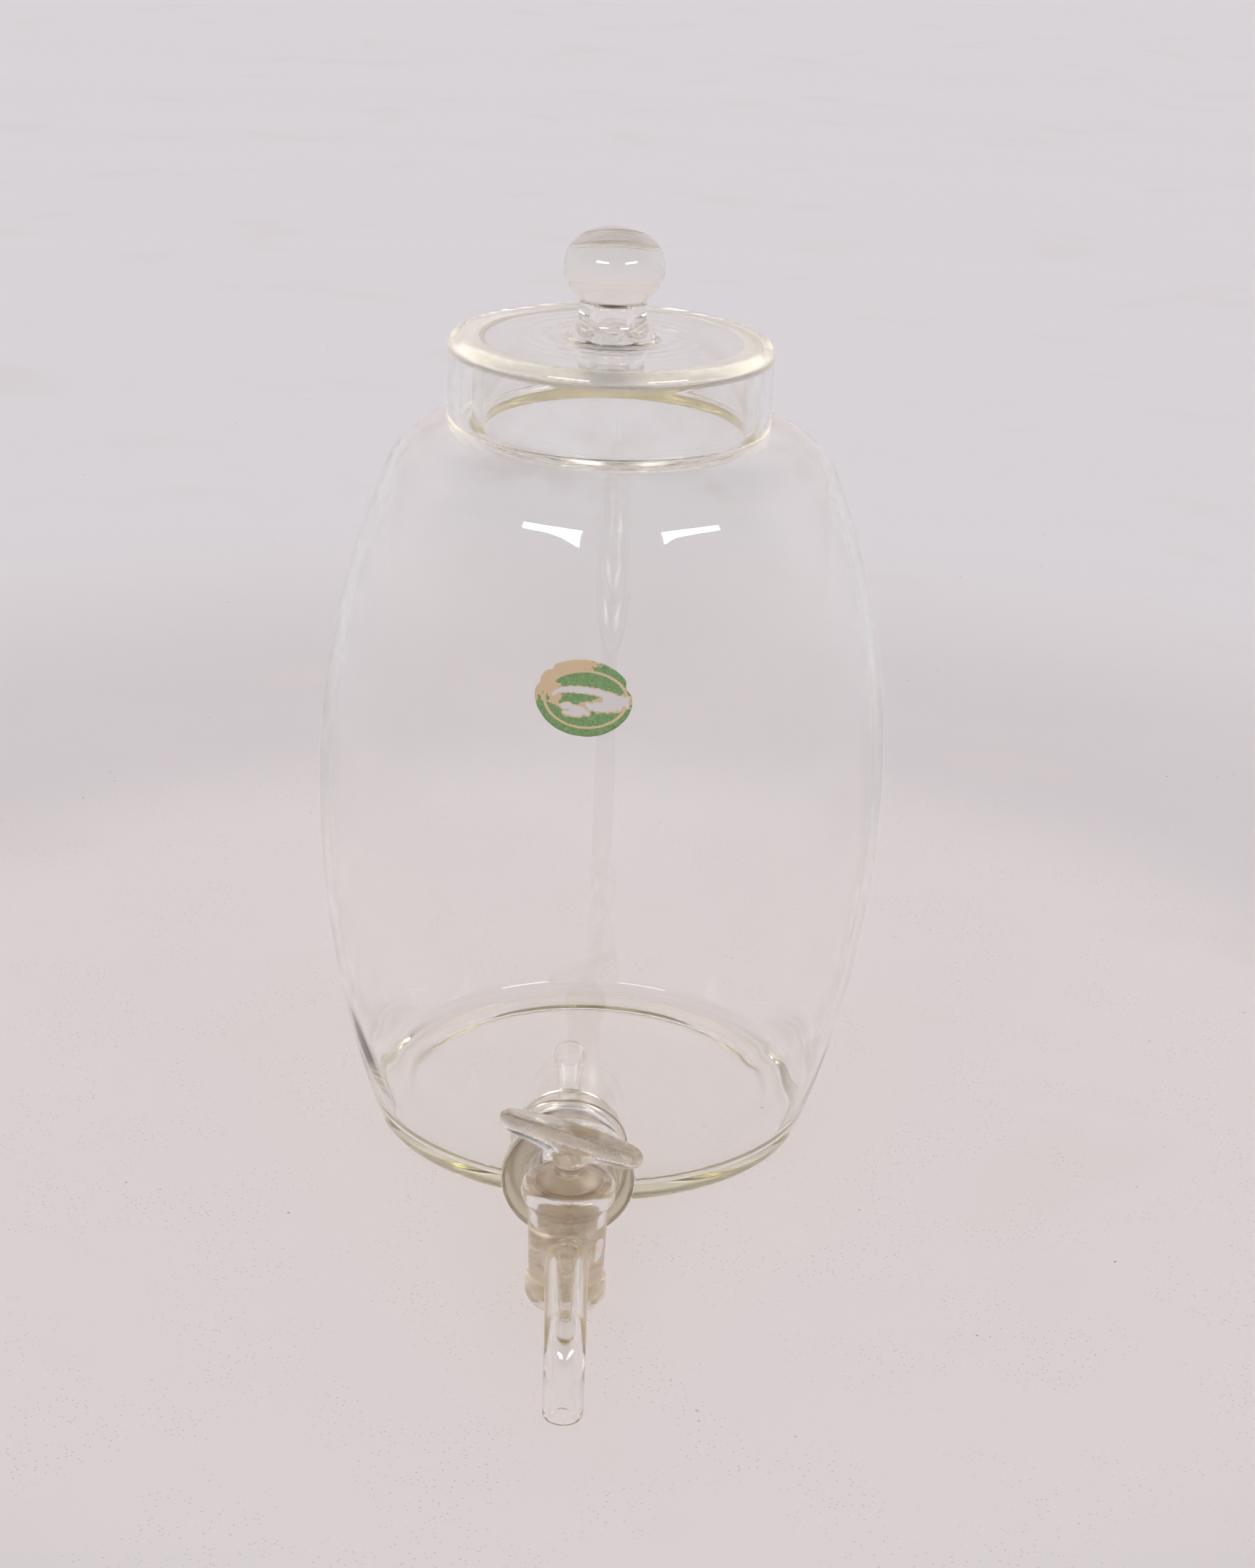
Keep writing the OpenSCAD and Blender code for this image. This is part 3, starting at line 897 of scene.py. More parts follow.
@dataclass
class Jar:
    """The blown jar with its neck and the ground socket fused into its wall, as one seamless shell.

    Attributes are sizes in millimetres.
    """

    belly_r: float = 117.9
    belly_z: float = 150.0
    lower_arc_r: float = 457.0
    upper_arc_r: float = 357.0
    shoulder_arc_r: float = 32.3
    shoulder_z: float = 305.2
    wall: float = 4.2
    floor: float = 7.0
    neck_r: float = 57.5
    neck_wall: float = 4.5
    rim_z: float = 334.55
    port_z: float = 31.0
    port_y: float = 130.0
    flange_r: float = 26.5
    flange_t: float = 7.0
    socket_r: float = 21.2
    ground_r: float = 19.1
    ground_l: float = 40.0
    columns: int = 240

    def _touching(self, big: float, small: float, height: float) -> tuple[float, float]:
        """Centre, at a height, of a circle of radius small that touches a belly arc of radius big inside."""
        reach = math.sqrt((big - small) ** 2 - (height - self.belly_z) ** 2)
        return self.belly_r - big + reach, height

    def _face(self, depth: float, foot: Array, low_r: float) -> Array:
        """One face of the wall, from its foot to the top of the shoulder.

        The face is the lower arc, the upper arc and the shoulder arc, all taken inwards by depth.

        Args:
            depth: Distance inwards from the outer face.
            foot: Points before the lower arc starts.
            low_r: Turn at which the lower arc starts, in degrees below level.

        Returns:
            The points.
        """
        low, high, top = self.lower_arc_r, self.upper_arc_r, self.shoulder_arc_r
        centre = self._touching(high, top, self.shoulder_z - top)
        lean = math.degrees(math.asin((centre[1] - self.belly_z) / (high - top)))
        return np.concatenate([
            foot,
            arc((self.belly_r - low, self.belly_z), low - depth, low_r, 0.0, 90),
            arc((self.belly_r - high, self.belly_z), high - depth, 0.0, lean, 90)[1:],
            arc(centre, top - depth, lean, 90.0)[1:],
        ])

    def _outer(self) -> Array:
        """Outer face from the middle of the underside to the rim, with a push-up inside the foot ring.

        Returns:
            Radius and height of its points.
        """
        heel, push_up, flat_r, ring_r = 3.0, 1.0, 76.0, 80.0
        centre = self._touching(self.lower_arc_r, heel, heel)
        lean = -math.degrees(math.asin((self.belly_z - heel) / (self.lower_arc_r - heel)))
        under = rounded([(0, push_up), (flat_r, push_up), (ring_r, 0.0), (centre[0], 0.0)], [0, 3, 3, 0])
        foot = np.concatenate([under[:-1], arc(centre, heel, -90, lean)[:-1]])
        neck = rounded(
            [(self.neck_r + 3.0, self.shoulder_z), (self.neck_r, self.shoulder_z), (self.neck_r, self.rim_z),
             (self.neck_r - self.neck_wall / 2, self.rim_z)], [0, 2.2, 1.0, 0])
        return np.concatenate([self._face(0.0, foot, lean), neck])

    def _inner(self) -> Array:
        """Inner face from the middle of the floor to the rim.

        Returns:
            Radius and height of its points.
        """
        heel = 9.0
        height = self.floor + heel
        reach = math.sqrt((self.lower_arc_r - self.wall - heel) ** 2 - (height - self.belly_z) ** 2)
        centre = (self.belly_r - self.lower_arc_r + reach, height)
        lean = -math.degrees(math.asin((self.belly_z - height) / (self.lower_arc_r - self.wall - heel)))
        foot = np.concatenate([[(0.0, self.floor)], arc(centre, heel, -90, lean)[:-1]])
        inside = self.neck_r - self.neck_wall
        top = self.shoulder_z - self.wall
        middle = self.neck_r - self.neck_wall / 2
        neck = rounded(
            [(inside + 7.0, top), (inside, top), (inside, self.rim_z), (middle, self.rim_z)],
            [0, 5.0, 1.0, 0])
        return np.concatenate([self._face(self.wall, foot, lean), neck])

    def _socket(self) -> Array:
        """The socket's tube, flange, ground bore and inner end, as radius and distance along its axis.

        Returns:
            The points, from the wall out to the mouth and back in through the bore.
        """
        mouth, deep = self.port_y, self.port_y - self.ground_l
        small = self.ground_r - TAPER * self.ground_l
        behind = mouth - self.flange_t
        return rounded(
            [(self.socket_r, 113.0), (self.socket_r, behind - 2.5), (self.flange_r, behind),
             (self.flange_r, mouth), (self.ground_r, mouth), (small, deep), (self.socket_r, deep),
             (self.socket_r, deep + 1.2)],
            [0, 4.5, 2.6, 2.2, 0.9, 1.8, 1.8, 0])

    def build(self) -> bpy.types.Object:
        """Builds the shell.

        Returns:
            The jar.
        """
        section = np.concatenate([self._outer(), self._inner()[::-1]])
        outline = Outline(section, step=4.6, turn=9.5, fine=(272.0, 296.0, 3.0))
        low, high, inner_low, band = 3.2, 62.0, 7.12, 28
        cuts = [outline.crossing(low, True), outline.crossing(high, True),
                outline.crossing(high, False), outline.crossing(inner_low, False)]
        rows, marks = outline.rows(cuts, [None, band, None, band, None])
        maker = MeshMaker("jar")
        wall = TurnedWall(maker, rows, self.columns)
        port = Port(-90.0, self.port_z, 14, ease_out=4.0, ease_in=2.4, lip_in=-1, skew=SKEW, tuck=4.4)
        sleeve = Outline(self._socket(), step=2.0, turn=12.0).rows()[0]
        up, down = np.arange(marks[0], marks[1] + 1), np.arange(marks[3], marks[2] - 1, -1)
        wall.let_in(port, up, down, sleeve)
        wall.finish()
        self._ripple(maker, len(rows), marks[2])
        piece = maker.make()
        settle(piece, Body.JAR, ["jar_body", "jar_neck", "side_socket"])
        return piece

    def _ripple(self, maker: MeshMaker, count: int, first: int) -> None:
        """Makes the inner face of the wall uneven, as blowing leaves it, away from the socket.

        Each point of the inner face moves along its radius by a sum of slow waves of angle and height,
        most near the heel, where the glass is thickest.

        Args:
            maker: Maker whose first block holds the wall's rows.
            count: Number of rows.
            first: First row of the inner face to move.
        """
        grid = maker.blocks[0].reshape(count, self.columns, 3)
        x, y, z = (grid[first:, :, axis] for axis in range(3))
        turn = np.arctan2(y, x)
        waves = 0.5 * np.sin(3 * turn + z * 0.045 + 1.0) + 0.3 * np.sin(8 * turn - z * 0.09) + 0.2 * np.sin(
            17 * turn + z * 0.12 + 2.0)
        gap = np.abs((turn + 0.5 * math.pi + math.pi) % (2 * math.pi) - math.pi)
        size = 0.06 + 0.30 * np.exp(-(((z - 45.0) / 30.0) ** 2))
        size *= np.clip((gap - 0.35) / 0.4, 0.0, 1.0) * np.clip((z - 12.0) / 15.0, 0.0, 1.0)
        size *= np.clip((290.0 - z) / 30.0, 0.0, 1.0)
        radius = np.maximum(np.hypot(x, y), 1.0)
        grid[first:, :, 0] += x / radius * waves * size
        grid[first:, :, 1] += y / radius * waves * size

    def finish(self, piece: bpy.types.Object) -> None:
        """Clear glass, with the socket's bore and flange and the rim ground.

        Args:
            piece: The jar.
        """
        graph = Graph.material("jar_glass")
        x, y, z = graph.socket_place()
        rise = z - self.port_z * MM
        reach = (x * x + rise * rise).root()
        in_bore = reach.ramp(self.socket_r * MM, (self.ground_r + 0.6) * MM) * y.ramp(-0.080, -0.084)
        on_flange = y.ramp(-0.1292, -0.1298) * reach.ramp(0.030, 0.0272)
        on_rim = z.ramp((self.rim_z - 0.5) * MM, (self.rim_z - 0.2) * MM)
        ground = in_bore.most(on_flange).most(on_rim)
        colour = graph.mix(ground, POLISHED, (0.60, 0.54, 0.455))
        dust = z.ramp(0.288, 0.300) * graph.noise(0.028, 4.0, roughness=0.6).ramp(0.46, 0.66)
        colour = graph.mix(dust * 0.5, colour, (0.90, 0.86, 0.82))
        roughness = (on_flange * 0.34).most(in_bore * 0.12).most(on_rim * 0.3)
        finish = GlassFinish(depth=(0.80, 0.76, 0.45), density=4.4)
        dress(piece, finish.make(graph, colour, roughness))


@dataclass
class Lid:
    """The loose lid with its hollow knob, blown and pressed in one.

    Attributes are sizes in millimetres.
    """

    shift: float = -2.5
    radius: float = 65.0
    skirt: float = 4.5
    skirt_z: float = 306.0
    top_z: float = 339.7
    plate: float = 4.9
    ball_r: float = 19.9
    ball_half_h: float = 15.3
    ball_rise: float = 27.7
    waist_r: float = 13.1
    root_r: float = 16.0
    waist_rise: float = 10.5
    well_r: float = 6.7
    well_top_r: float = 5.2
    columns: int = 192

    def _knob(self) -> Array:
        """The knob from its root to its top.

        Below the ball's middle the radius is the smooth maximum of ball and stem,
        (a + b + sqrt((a-b)^2 + k^2)) / 2; above it the ball goes on alone, a slightly squared ellipse.

        Returns:
            Radius and height of its points.
        """
        power, blend = 2.25, 2.2
        rise = np.linspace(0.0, self.ball_rise, 90)
        high = np.abs(rise - self.ball_rise) / self.ball_half_h
        ball = self.ball_r * np.maximum(0.0, 1.0 - high**power) ** (1.0 / power)
        sink = np.maximum(0.0, self.waist_rise - rise) / self.waist_rise
        stem = self.waist_r + (self.root_r + 3.0 - self.waist_r) * sink**2.6
        lower = 0.5 * (ball + stem + np.sqrt((ball - stem) ** 2 + blend**2))
        excess = lower[-1] - self.ball_r
        lower -= excess * (rise / self.ball_rise) ** 4
        turn = np.linspace(0.0, 0.5 * math.pi, 60)[1:]
        upper_r = self.ball_r * np.cos(turn) ** (2.0 / power)
        upper_z = self.ball_rise + self.ball_half_h * np.sin(turn) ** (2.0 / power)
        outline = np.concatenate([np.stack([lower, rise], 1), np.stack([upper_r, upper_z], 1)])
        outline[-1, 0] = 0.0
        return outline + [0.0, self.top_z]

    def build(self) -> bpy.types.Object:
        """Builds the lid.

        Returns:
            The lid.
        """
        inner = self.radius - self.skirt
        under = self.top_z - self.plate
        well_top, well_dome = self.top_z + 12.0, 5.5
        dome = np.radians(np.linspace(90.0, 0.0, 20))
        well = np.stack([self.well_top_r * np.cos(dome), well_top + well_dome * np.sin(dome)], axis=1)
        well[0, 0] = 0.0
        skirt = rounded(
            [(self.well_r, self.top_z + 4.0), (self.well_r, self.top_z), (self.well_r + 1.8, under),
             (inner, under), (inner, self.skirt_z), (self.radius, self.skirt_z), (self.radius, self.top_z),
             (self.root_r + 6.0, self.top_z)],
            [0, 1.5, 2.4, 1.0, 0.5, 0.5, 5.4, 0], 12)
        knob = self._knob()
        plain_r = self.root_r + 6.0
        root = rounded([(plain_r, self.top_z), (self.root_r + 2.5, self.top_z), knob[6]], [0, 2.5, 0])
        points = np.concatenate([well, skirt, root[1:], knob[7:]])
        rows = Outline(points, step=2.0, turn=8.0).rows()[0]
        reach = rows[:, 0]
        ripple = np.exp(-np.maximum(reach - 26.0, 0.0) / 7.0) * np.clip((reach - 20.0) / 4.0, 0.0, 1.0)
        on_top = (np.abs(rows[:, 1] - self.top_z) < 0.3) & (reach > 20.0)
        rows[on_top, 1] -= (0.10 * ripple * (1.0 + np.sin(reach)))[on_top]
        maker = MeshMaker("lid")
        grid = turned(rows, self.columns, (self.shift, 0.0))
        maker.skin(add_turned(maker, grid))
        piece = maker.make()
        settle(piece, Body.LID, ["lid_cover", "lid_knob"])
        return piece

    def finish(self, piece: bpy.types.Object) -> None:
        """Clear glass, ground round the seat that rests on the jar's rim.

        Args:
            piece: The lid.
        """
        graph = Graph.material("lid_glass")
        x, y, z = graph.place()
        off = x - self.shift * MM
        reach = (off * off + y * y).root()
        under = (self.top_z - self.plate) * MM
        seat = z.ramp(under + 0.0006, under + 0.0002) * z.ramp(under - 0.0016, under - 0.0008)
        seat = seat * reach.ramp(0.0522, 0.0530)
        colour = graph.mix(seat, POLISHED, (0.58, 0.55, 0.49))
        top = self.top_z * MM
        dome = z.ramp(top + 0.0125, top + 0.0150) * z.ramp(top + 0.024, top + 0.020)
        crown = reach.ramp(0.0060, 0.0055) * dome
        colour = graph.mix(crown, colour, (0.50, 0.36, 0.24))
        finish = GlassFinish(depth=(0.80, 0.76, 0.60), density=6.0)
        dress(piece, finish.make(graph, colour, seat * 0.26))


@dataclass
class Stopcock:
    """The stopcock's glass body: ground cone, draw tube, arm, barrel and spout, fused into one shell.

    Attributes are sizes in millimetres.
    """

    key_y: float = 175.0
    port_z: float = 31.0
    port_y: float = 130.0
    foot_z: float = 7.0
    top_z: float = 57.3
    barrel_r: float = 15.3
    low_r: float = 14.3
    collar_r: float = 17.8
    collar_top_r: float = 16.4
    collar_h: float = 6.8
    bore_r: float = 12.7
    bead_r: float = 15.5
    bead_h: float = 9.0
    arm_r: float = 8.5
    passage_r: float = 4.3
    cone_r: float = 19.25
    cone_end_r: float = 17.4
    cone_wall: float = 2.6
    tube_r: float = 4.7
    tube_wall: float = 1.6
    mouth_r: float = 7.1
    hose_r: float = 7.4
    drop_y: float = 249.0
    drop_z: float = 3.0
    bend_r: float = 14.0
    columns: int = 120

    def _bore(self, z: float) -> float:
        """Radius of the key's bore at a height."""
        return self.bore_r - TAPER * (self.top_z - z)

    def _barrel(self) -> Array:
        """Closed outline of the barrel, up the outside and down the bore.

        Returns:
            Radius and height of its points.
        """
        z0, z1 = self.foot_z, self.top_z
        low = self._bore(z0)
        return rounded(
            [(low, z0 + 3.0), (low, z0), (self.bead_r, z0), (self.bead_r, z0 + self.bead_h),
             (self.low_r, z0 + self.bead_h + 1.5), (self.barrel_r, z1 - self.collar_h - 1.5),
             (self.collar_r, z1 - self.collar_h), (self.collar_r, z1 - 1.6), (self.collar_top_r - 0.6, z1),
             (self._bore(z1) + 0.3, z1 - 0.4), (self._bore(z1 - 1.5), z1 - 1.5), (self._bore(z0), z0 + 3.0)],
            [0, 1.0, 3.6, 3.4, 1.5, 2.0, 1.6, 1.8, 1.6, 0.5, 0.6, 0])

    def _inlet(self) -> Array:
        """From the barrel along the arm, over the cone, down the draw tube and back through all three.

        Returns:
            Radius and distance along the tube of the points.
        """
        shoulder = self.key_y - self.port_y - 11.0
        cone_out = self.key_y - self.port_y - 4.0
        cone_in = self.key_y - 97.0
        neck = cone_in + 7.0
        mouth = self.key_y - 21.0
        wall = self.cone_wall
        share = np.linspace(1.0, 0.0, 8)[1:]
        flare = self.tube_r + (self.mouth_r - self.tube_r) * (1.0 - share) ** 2.2
        outside = list(zip(flare, mouth - (mouth - neck) * share))
        inside = [(radius - self.tube_wall, along) for radius, along in outside[::-1]]
        ease = [4.0] * (len(outside) - 1) + [0.7]
        return rounded(
            [(self.arm_r, 20.0), (self.arm_r, shoulder), (self.cone_r, cone_out), (self.cone_end_r, cone_in),
             (self.tube_r, neck - 1.0), *outside, *inside, (self.tube_r - self.tube_wall, neck - 3.5),
             (self.cone_end_r - wall, cone_in - 1.0), (self.cone_r - wall, cone_out + 1.5),
             (self.passage_r, shoulder + 1.0), (self.passage_r, 14.0)],
            [0, 4.0, 4.0, 5.0, 4.0, *ease, *ease[::-1], 2.0, 4.0, 4.0, 3.0, 0], 10)

    def _outlet(self) -> Array:
        """From the barrel along the spout, round its bend, down to its fire-polished end and back inside.

        Returns:
            Radius and distance along the tube of the points.
        """
        bend = self.drop_y - self.key_y - self.bend_r
        end = bend + 0.5 * math.pi * self.bend_r + self.port_z - self.bend_r - self.drop_z
        return rounded(
            [(self.arm_r, 20.0), (self.hose_r + 0.5, bend - 14.0), (self.hose_r + 0.1, bend + 8.0),
             (self.hose_r, end - 12.0), (self.hose_r, end), (self.passage_r, end),
             (self.passage_r, bend), (self.passage_r, 14.0)],
            [0, 14.0, 6.0, 3.0, 1.7, 1.7, 5.0, 0], 10)

    def build(self) -> bpy.types.Object:
        """Builds the stopcock's body.

        Returns:
            The piece.
        """
        outline = Outline(self._barrel(), step=1.6, turn=9.0)
        outer, inner, band = (15.6, 46.6), (22.0, 40.0), 26
        cuts = [outline.crossing(outer[0] + 1.6, True), outline.crossing(outer[1] + 1.0, True),
                outline.crossing(inner[1], False), outline.crossing(inner[0], False)]
        rows, marks = outline.rows(cuts, [None, band, None, band, None])
        maker = MeshMaker("stopcock_body")
        wall = TurnedWall(maker, rows[:-1], self.columns, (0.0, -self.key_y), closed=True)
        up = np.arange(marks[0], marks[1] + 1)
        down = np.arange(marks[3], marks[2] - 1, -1)
        back = Port(90.0, self.port_z, 19, ease_out=3.6, ease_in=0.7)
        spout_bend = Bend(self.drop_y - self.key_y - self.bend_r, self.bend_r)
        front = Port(-90.0, self.port_z, 19, ease_out=3.6, ease_in=0.7, bend=spout_bend)
        wall.let_in(back, up, down, Outline(self._inlet(), step=1.8, turn=9.0).rows()[0])
        wall.let_in(front, up, down, Outline(self._outlet(), step=1.4, turn=9.0).rows()[0])
        wall.finish()
        maker.blocks = [swung(block, PIVOT, SKEW) for block in maker.blocks]
        piece = maker.make()
        settle(piece, Body.STOPCOCK, ["ground_cone", "draw_tube", "side_arm", "barrel", "spout"])
        return piece

    def finish(self, piece: bpy.types.Object) -> None:
        """Clear glass with a ground cone, old grease on the barrel's top, and painted shade that darkens the
        bore towards its top.

        Args:
            piece: The stopcock's body.
        """
        graph = Graph.material("stopcock_glass")
        x, y, z = graph.socket_place()
        rise = z - self.port_z * MM
        reach = (x * x + rise * rise).root()
        cone = y.ramp(-0.1335, -0.1325) * reach.ramp(0.0165, 0.0173)
        from_key = y + self.key_y * MM
        turn_r = (x * x + from_key * from_key).root()
        bore_here = (self.bore_r - TAPER * self.top_z) * MM + z * TAPER
        bore = (turn_r - bore_here).ramp(0.0006, 0.0002) * reach.ramp(0.0046, 0.0052)
        colour = graph.mix(cone, POLISHED, (0.62, 0.56, 0.48))
        # Painted shade: the bore's tint goes from pale grey-beige below 30 mm to darker brown-grey above 50
        # mm, standing in for the darker look the surroundings give the barrel's upper part.
        wear_and_painted_shade = graph.mix(z.ramp(0.030, 0.050), (0.83, 0.79, 0.73), (0.66, 0.60, 0.52))
        colour = graph.mix(bore, colour, wear_and_painted_shade)
        top = z.ramp((self.top_z - 1.3) * MM, (self.top_z - 0.6) * MM) * turn_r.ramp(0.0164, 0.0158)
        patchy = graph.noise(0.003, 3.0).ramp(0.35, 0.6)
        colour = graph.mix(top * (0.7 + 0.3 * patchy), colour, (0.20, 0.12, 0.06))
        spot = graph.near(x, z, (0.0121, 0.035), (0.0022, 0.0034))
        stain = spot.ramp(1.1, 0.8) * spot.ramp(0.35, 0.6) * y.ramp(-0.182, -0.183)
        colour = graph.mix(stain * 0.8, colour, (0.62, 0.36, 0.14))
        finish = GlassFinish(depth=(0.71, 0.57, 0.14), density=7.0)
        dress(piece, finish.make(graph, colour, (cone * 0.12).most(top * 0.25).most(bore * 0.07)))


@dataclass
class Key:
    """The stopcock's key: ground plug, domed top, neck and pressed T-handle in one.

    Attributes are sizes in millimetres.
    """

    key_y: float = 175.0
    port_z: float = 31.0
    foot_z: float = 9.0
    top_z: float = 58.0
    barrel_top: float = 57.3
    bore_r: float = 12.65
    neck_r: float = 6.3
    handle_l: float = 62.0
    handle_z: float = 74.7
    handle_turn: float = -30.25
    bore: float = 4.3
    columns: int = 120

    def _plug(self, z: float) -> float:
        """Radius of the plug at a height."""
        return self.bore_r - TAPER * (self.barrel_top - z)

    def _outline(self) -> Array:
        """Half length, half thickness and height from the plug's foot to the top of the handle.

        Returns:
            The three numbers of each point.
        """
        half, z = self.handle_l / 2, self.handle_z
        foot, top, neck = self._plug(self.foot_z), self._plug(self.top_z), self.neck_r
        corners = [
            (0.0, 0.0, self.foot_z), (foot, foot, self.foot_z), (top, top, self.top_z),
            (top * 0.78, top * 0.78, self.top_z + 2.6), (neck, neck, self.top_z + 4.4),
            (neck, neck * 0.95, z - 7.0), (half * 0.42, 4.6, z - 5.0), (half - 1.5, 4.0, z - 3.4),
            (half, 4.2, z + 0.4), (half - 1.2, 3.9, z + 4.2), (half * 0.5, 3.2, z + 5.6), (0.0, 0.0, z + 6.0)]
        return rounded(corners, [0, 1.4, 0.9, 3.5, 3.0, 4.5, 7.0, 3.4, 3.4, 3.4, 8.0, 0], 12)

    def build(self) -> bpy.types.Object:
        """Builds the key; above the plug a row is a squared ellipse |x/a|^n + |y/b|^n = 1.

        Returns:
            The key.
        """
        points = self._outline()
        outline = Outline(points, step=1.5, turn=9.0)
        flat = Outline(points[:, [0, 2]], step=1.5, turn=9.0)
        low, high, band = 23.0, 39.0, 20
        cuts = [flat.crossing(low, True), flat.crossing(high, True)]
        marks_at = [float(np.interp(cut, flat.measure, outline.measure)) for cut in cuts]
        rows, marks = outline.rows(marks_at, [None, band, None])
        maker = MeshMaker("stopcock_key")
        wall = TurnedWall(maker, rows[:, [0, 2]], self.columns)
        port = Port(0.0, self.port_z, 13, ease_out=0.6, ease_in=0.6)
        wall.bore_through(port, np.arange(marks[0], marks[1] + 1), self.bore)
        wall.finish()
        self._shape(maker, rows)
        piece = maker.make()
        settle(piece, Body.KEY, ["key_plug", "key_handle"])
        return piece

    def _shape(self, maker: MeshMaker, rows: Array) -> None:
        """Presses the handle's rows into squared ellipses, then turns the key and puts it on its axis.

        Args:
            maker: Maker whose first block holds the key's rows.
            rows: Half length, half thickness and height of each row.
        """
        angle = np.linspace(0.0, 2.0 * math.pi, self.columns, endpoint=False)
        height = np.clip((rows[:, 2:] - self.handle_z + 10.0) / 5.0, 0.0, 1.0)
        power = 2.0 / (2.0 + 1.0 * height**2 * (3.0 - 2.0 * height))
        x = rows[:, :1] * np.sign(np.cos(angle)) * np.abs(np.cos(angle)) ** power
        y = rows[:, 1:2] * np.sign(np.sin(angle)) * np.abs(np.sin(angle)) ** power
        maker.blocks[0] = np.stack([x, y, np.broadcast_to(rows[:, 2:], x.shape)], axis=-1).reshape(-1, 3)
        closed = [swung(block, 0.0, self.handle_turn) - [0.0, self.key_y, 0.0] for block in maker.blocks]
        maker.blocks = [swung(block, PIVOT, SKEW) for block in closed]

    def finish(self, piece: bpy.types.Object) -> None:
        """A greased plug that is nearly clear, a frosted dome, and a clear handle with a pressed grain and
        painted shade on its top half.

        Args:
            piece: The key.
        """
        graph = Graph.material("key_glass")
        z = graph.place()[2]
        dome = z.ramp(0.0572, 0.0580) * z.ramp(0.0640, 0.0615)
        grease = z.ramp(0.0560, 0.0572) * z.ramp(0.0592, 0.0583)
        grain = graph.noise(0.0012, 2.0)
        plug = z.ramp(0.0600, 0.0580)
        colour = graph.mix(plug, POLISHED, (0.84, 0.79, 0.72))
        # Painted shade: the handle's top half is tinted darker grey-beige.
        handle_top_shade = z.ramp((self.handle_z - 0.5) * MM, (self.handle_z + 2.5) * MM)
        colour = graph.mix(handle_top_shade, colour, (0.62, 0.58, 0.52))
        colour = graph.mix(dome, colour, (0.60, 0.52, 0.43))
        colour = graph.mix(grease * (0.4 + 0.6 * grain), colour, (0.36, 0.24, 0.14))
        normal = graph.bump(graph.noise(0.0011, 3.0), 0.00012)
        finish = GlassFinish(depth=(0.75, 0.62, 0.30), density=6.0)
        dress(piece, finish.make(graph, colour, 0.05 + dome * 0.2, normal))


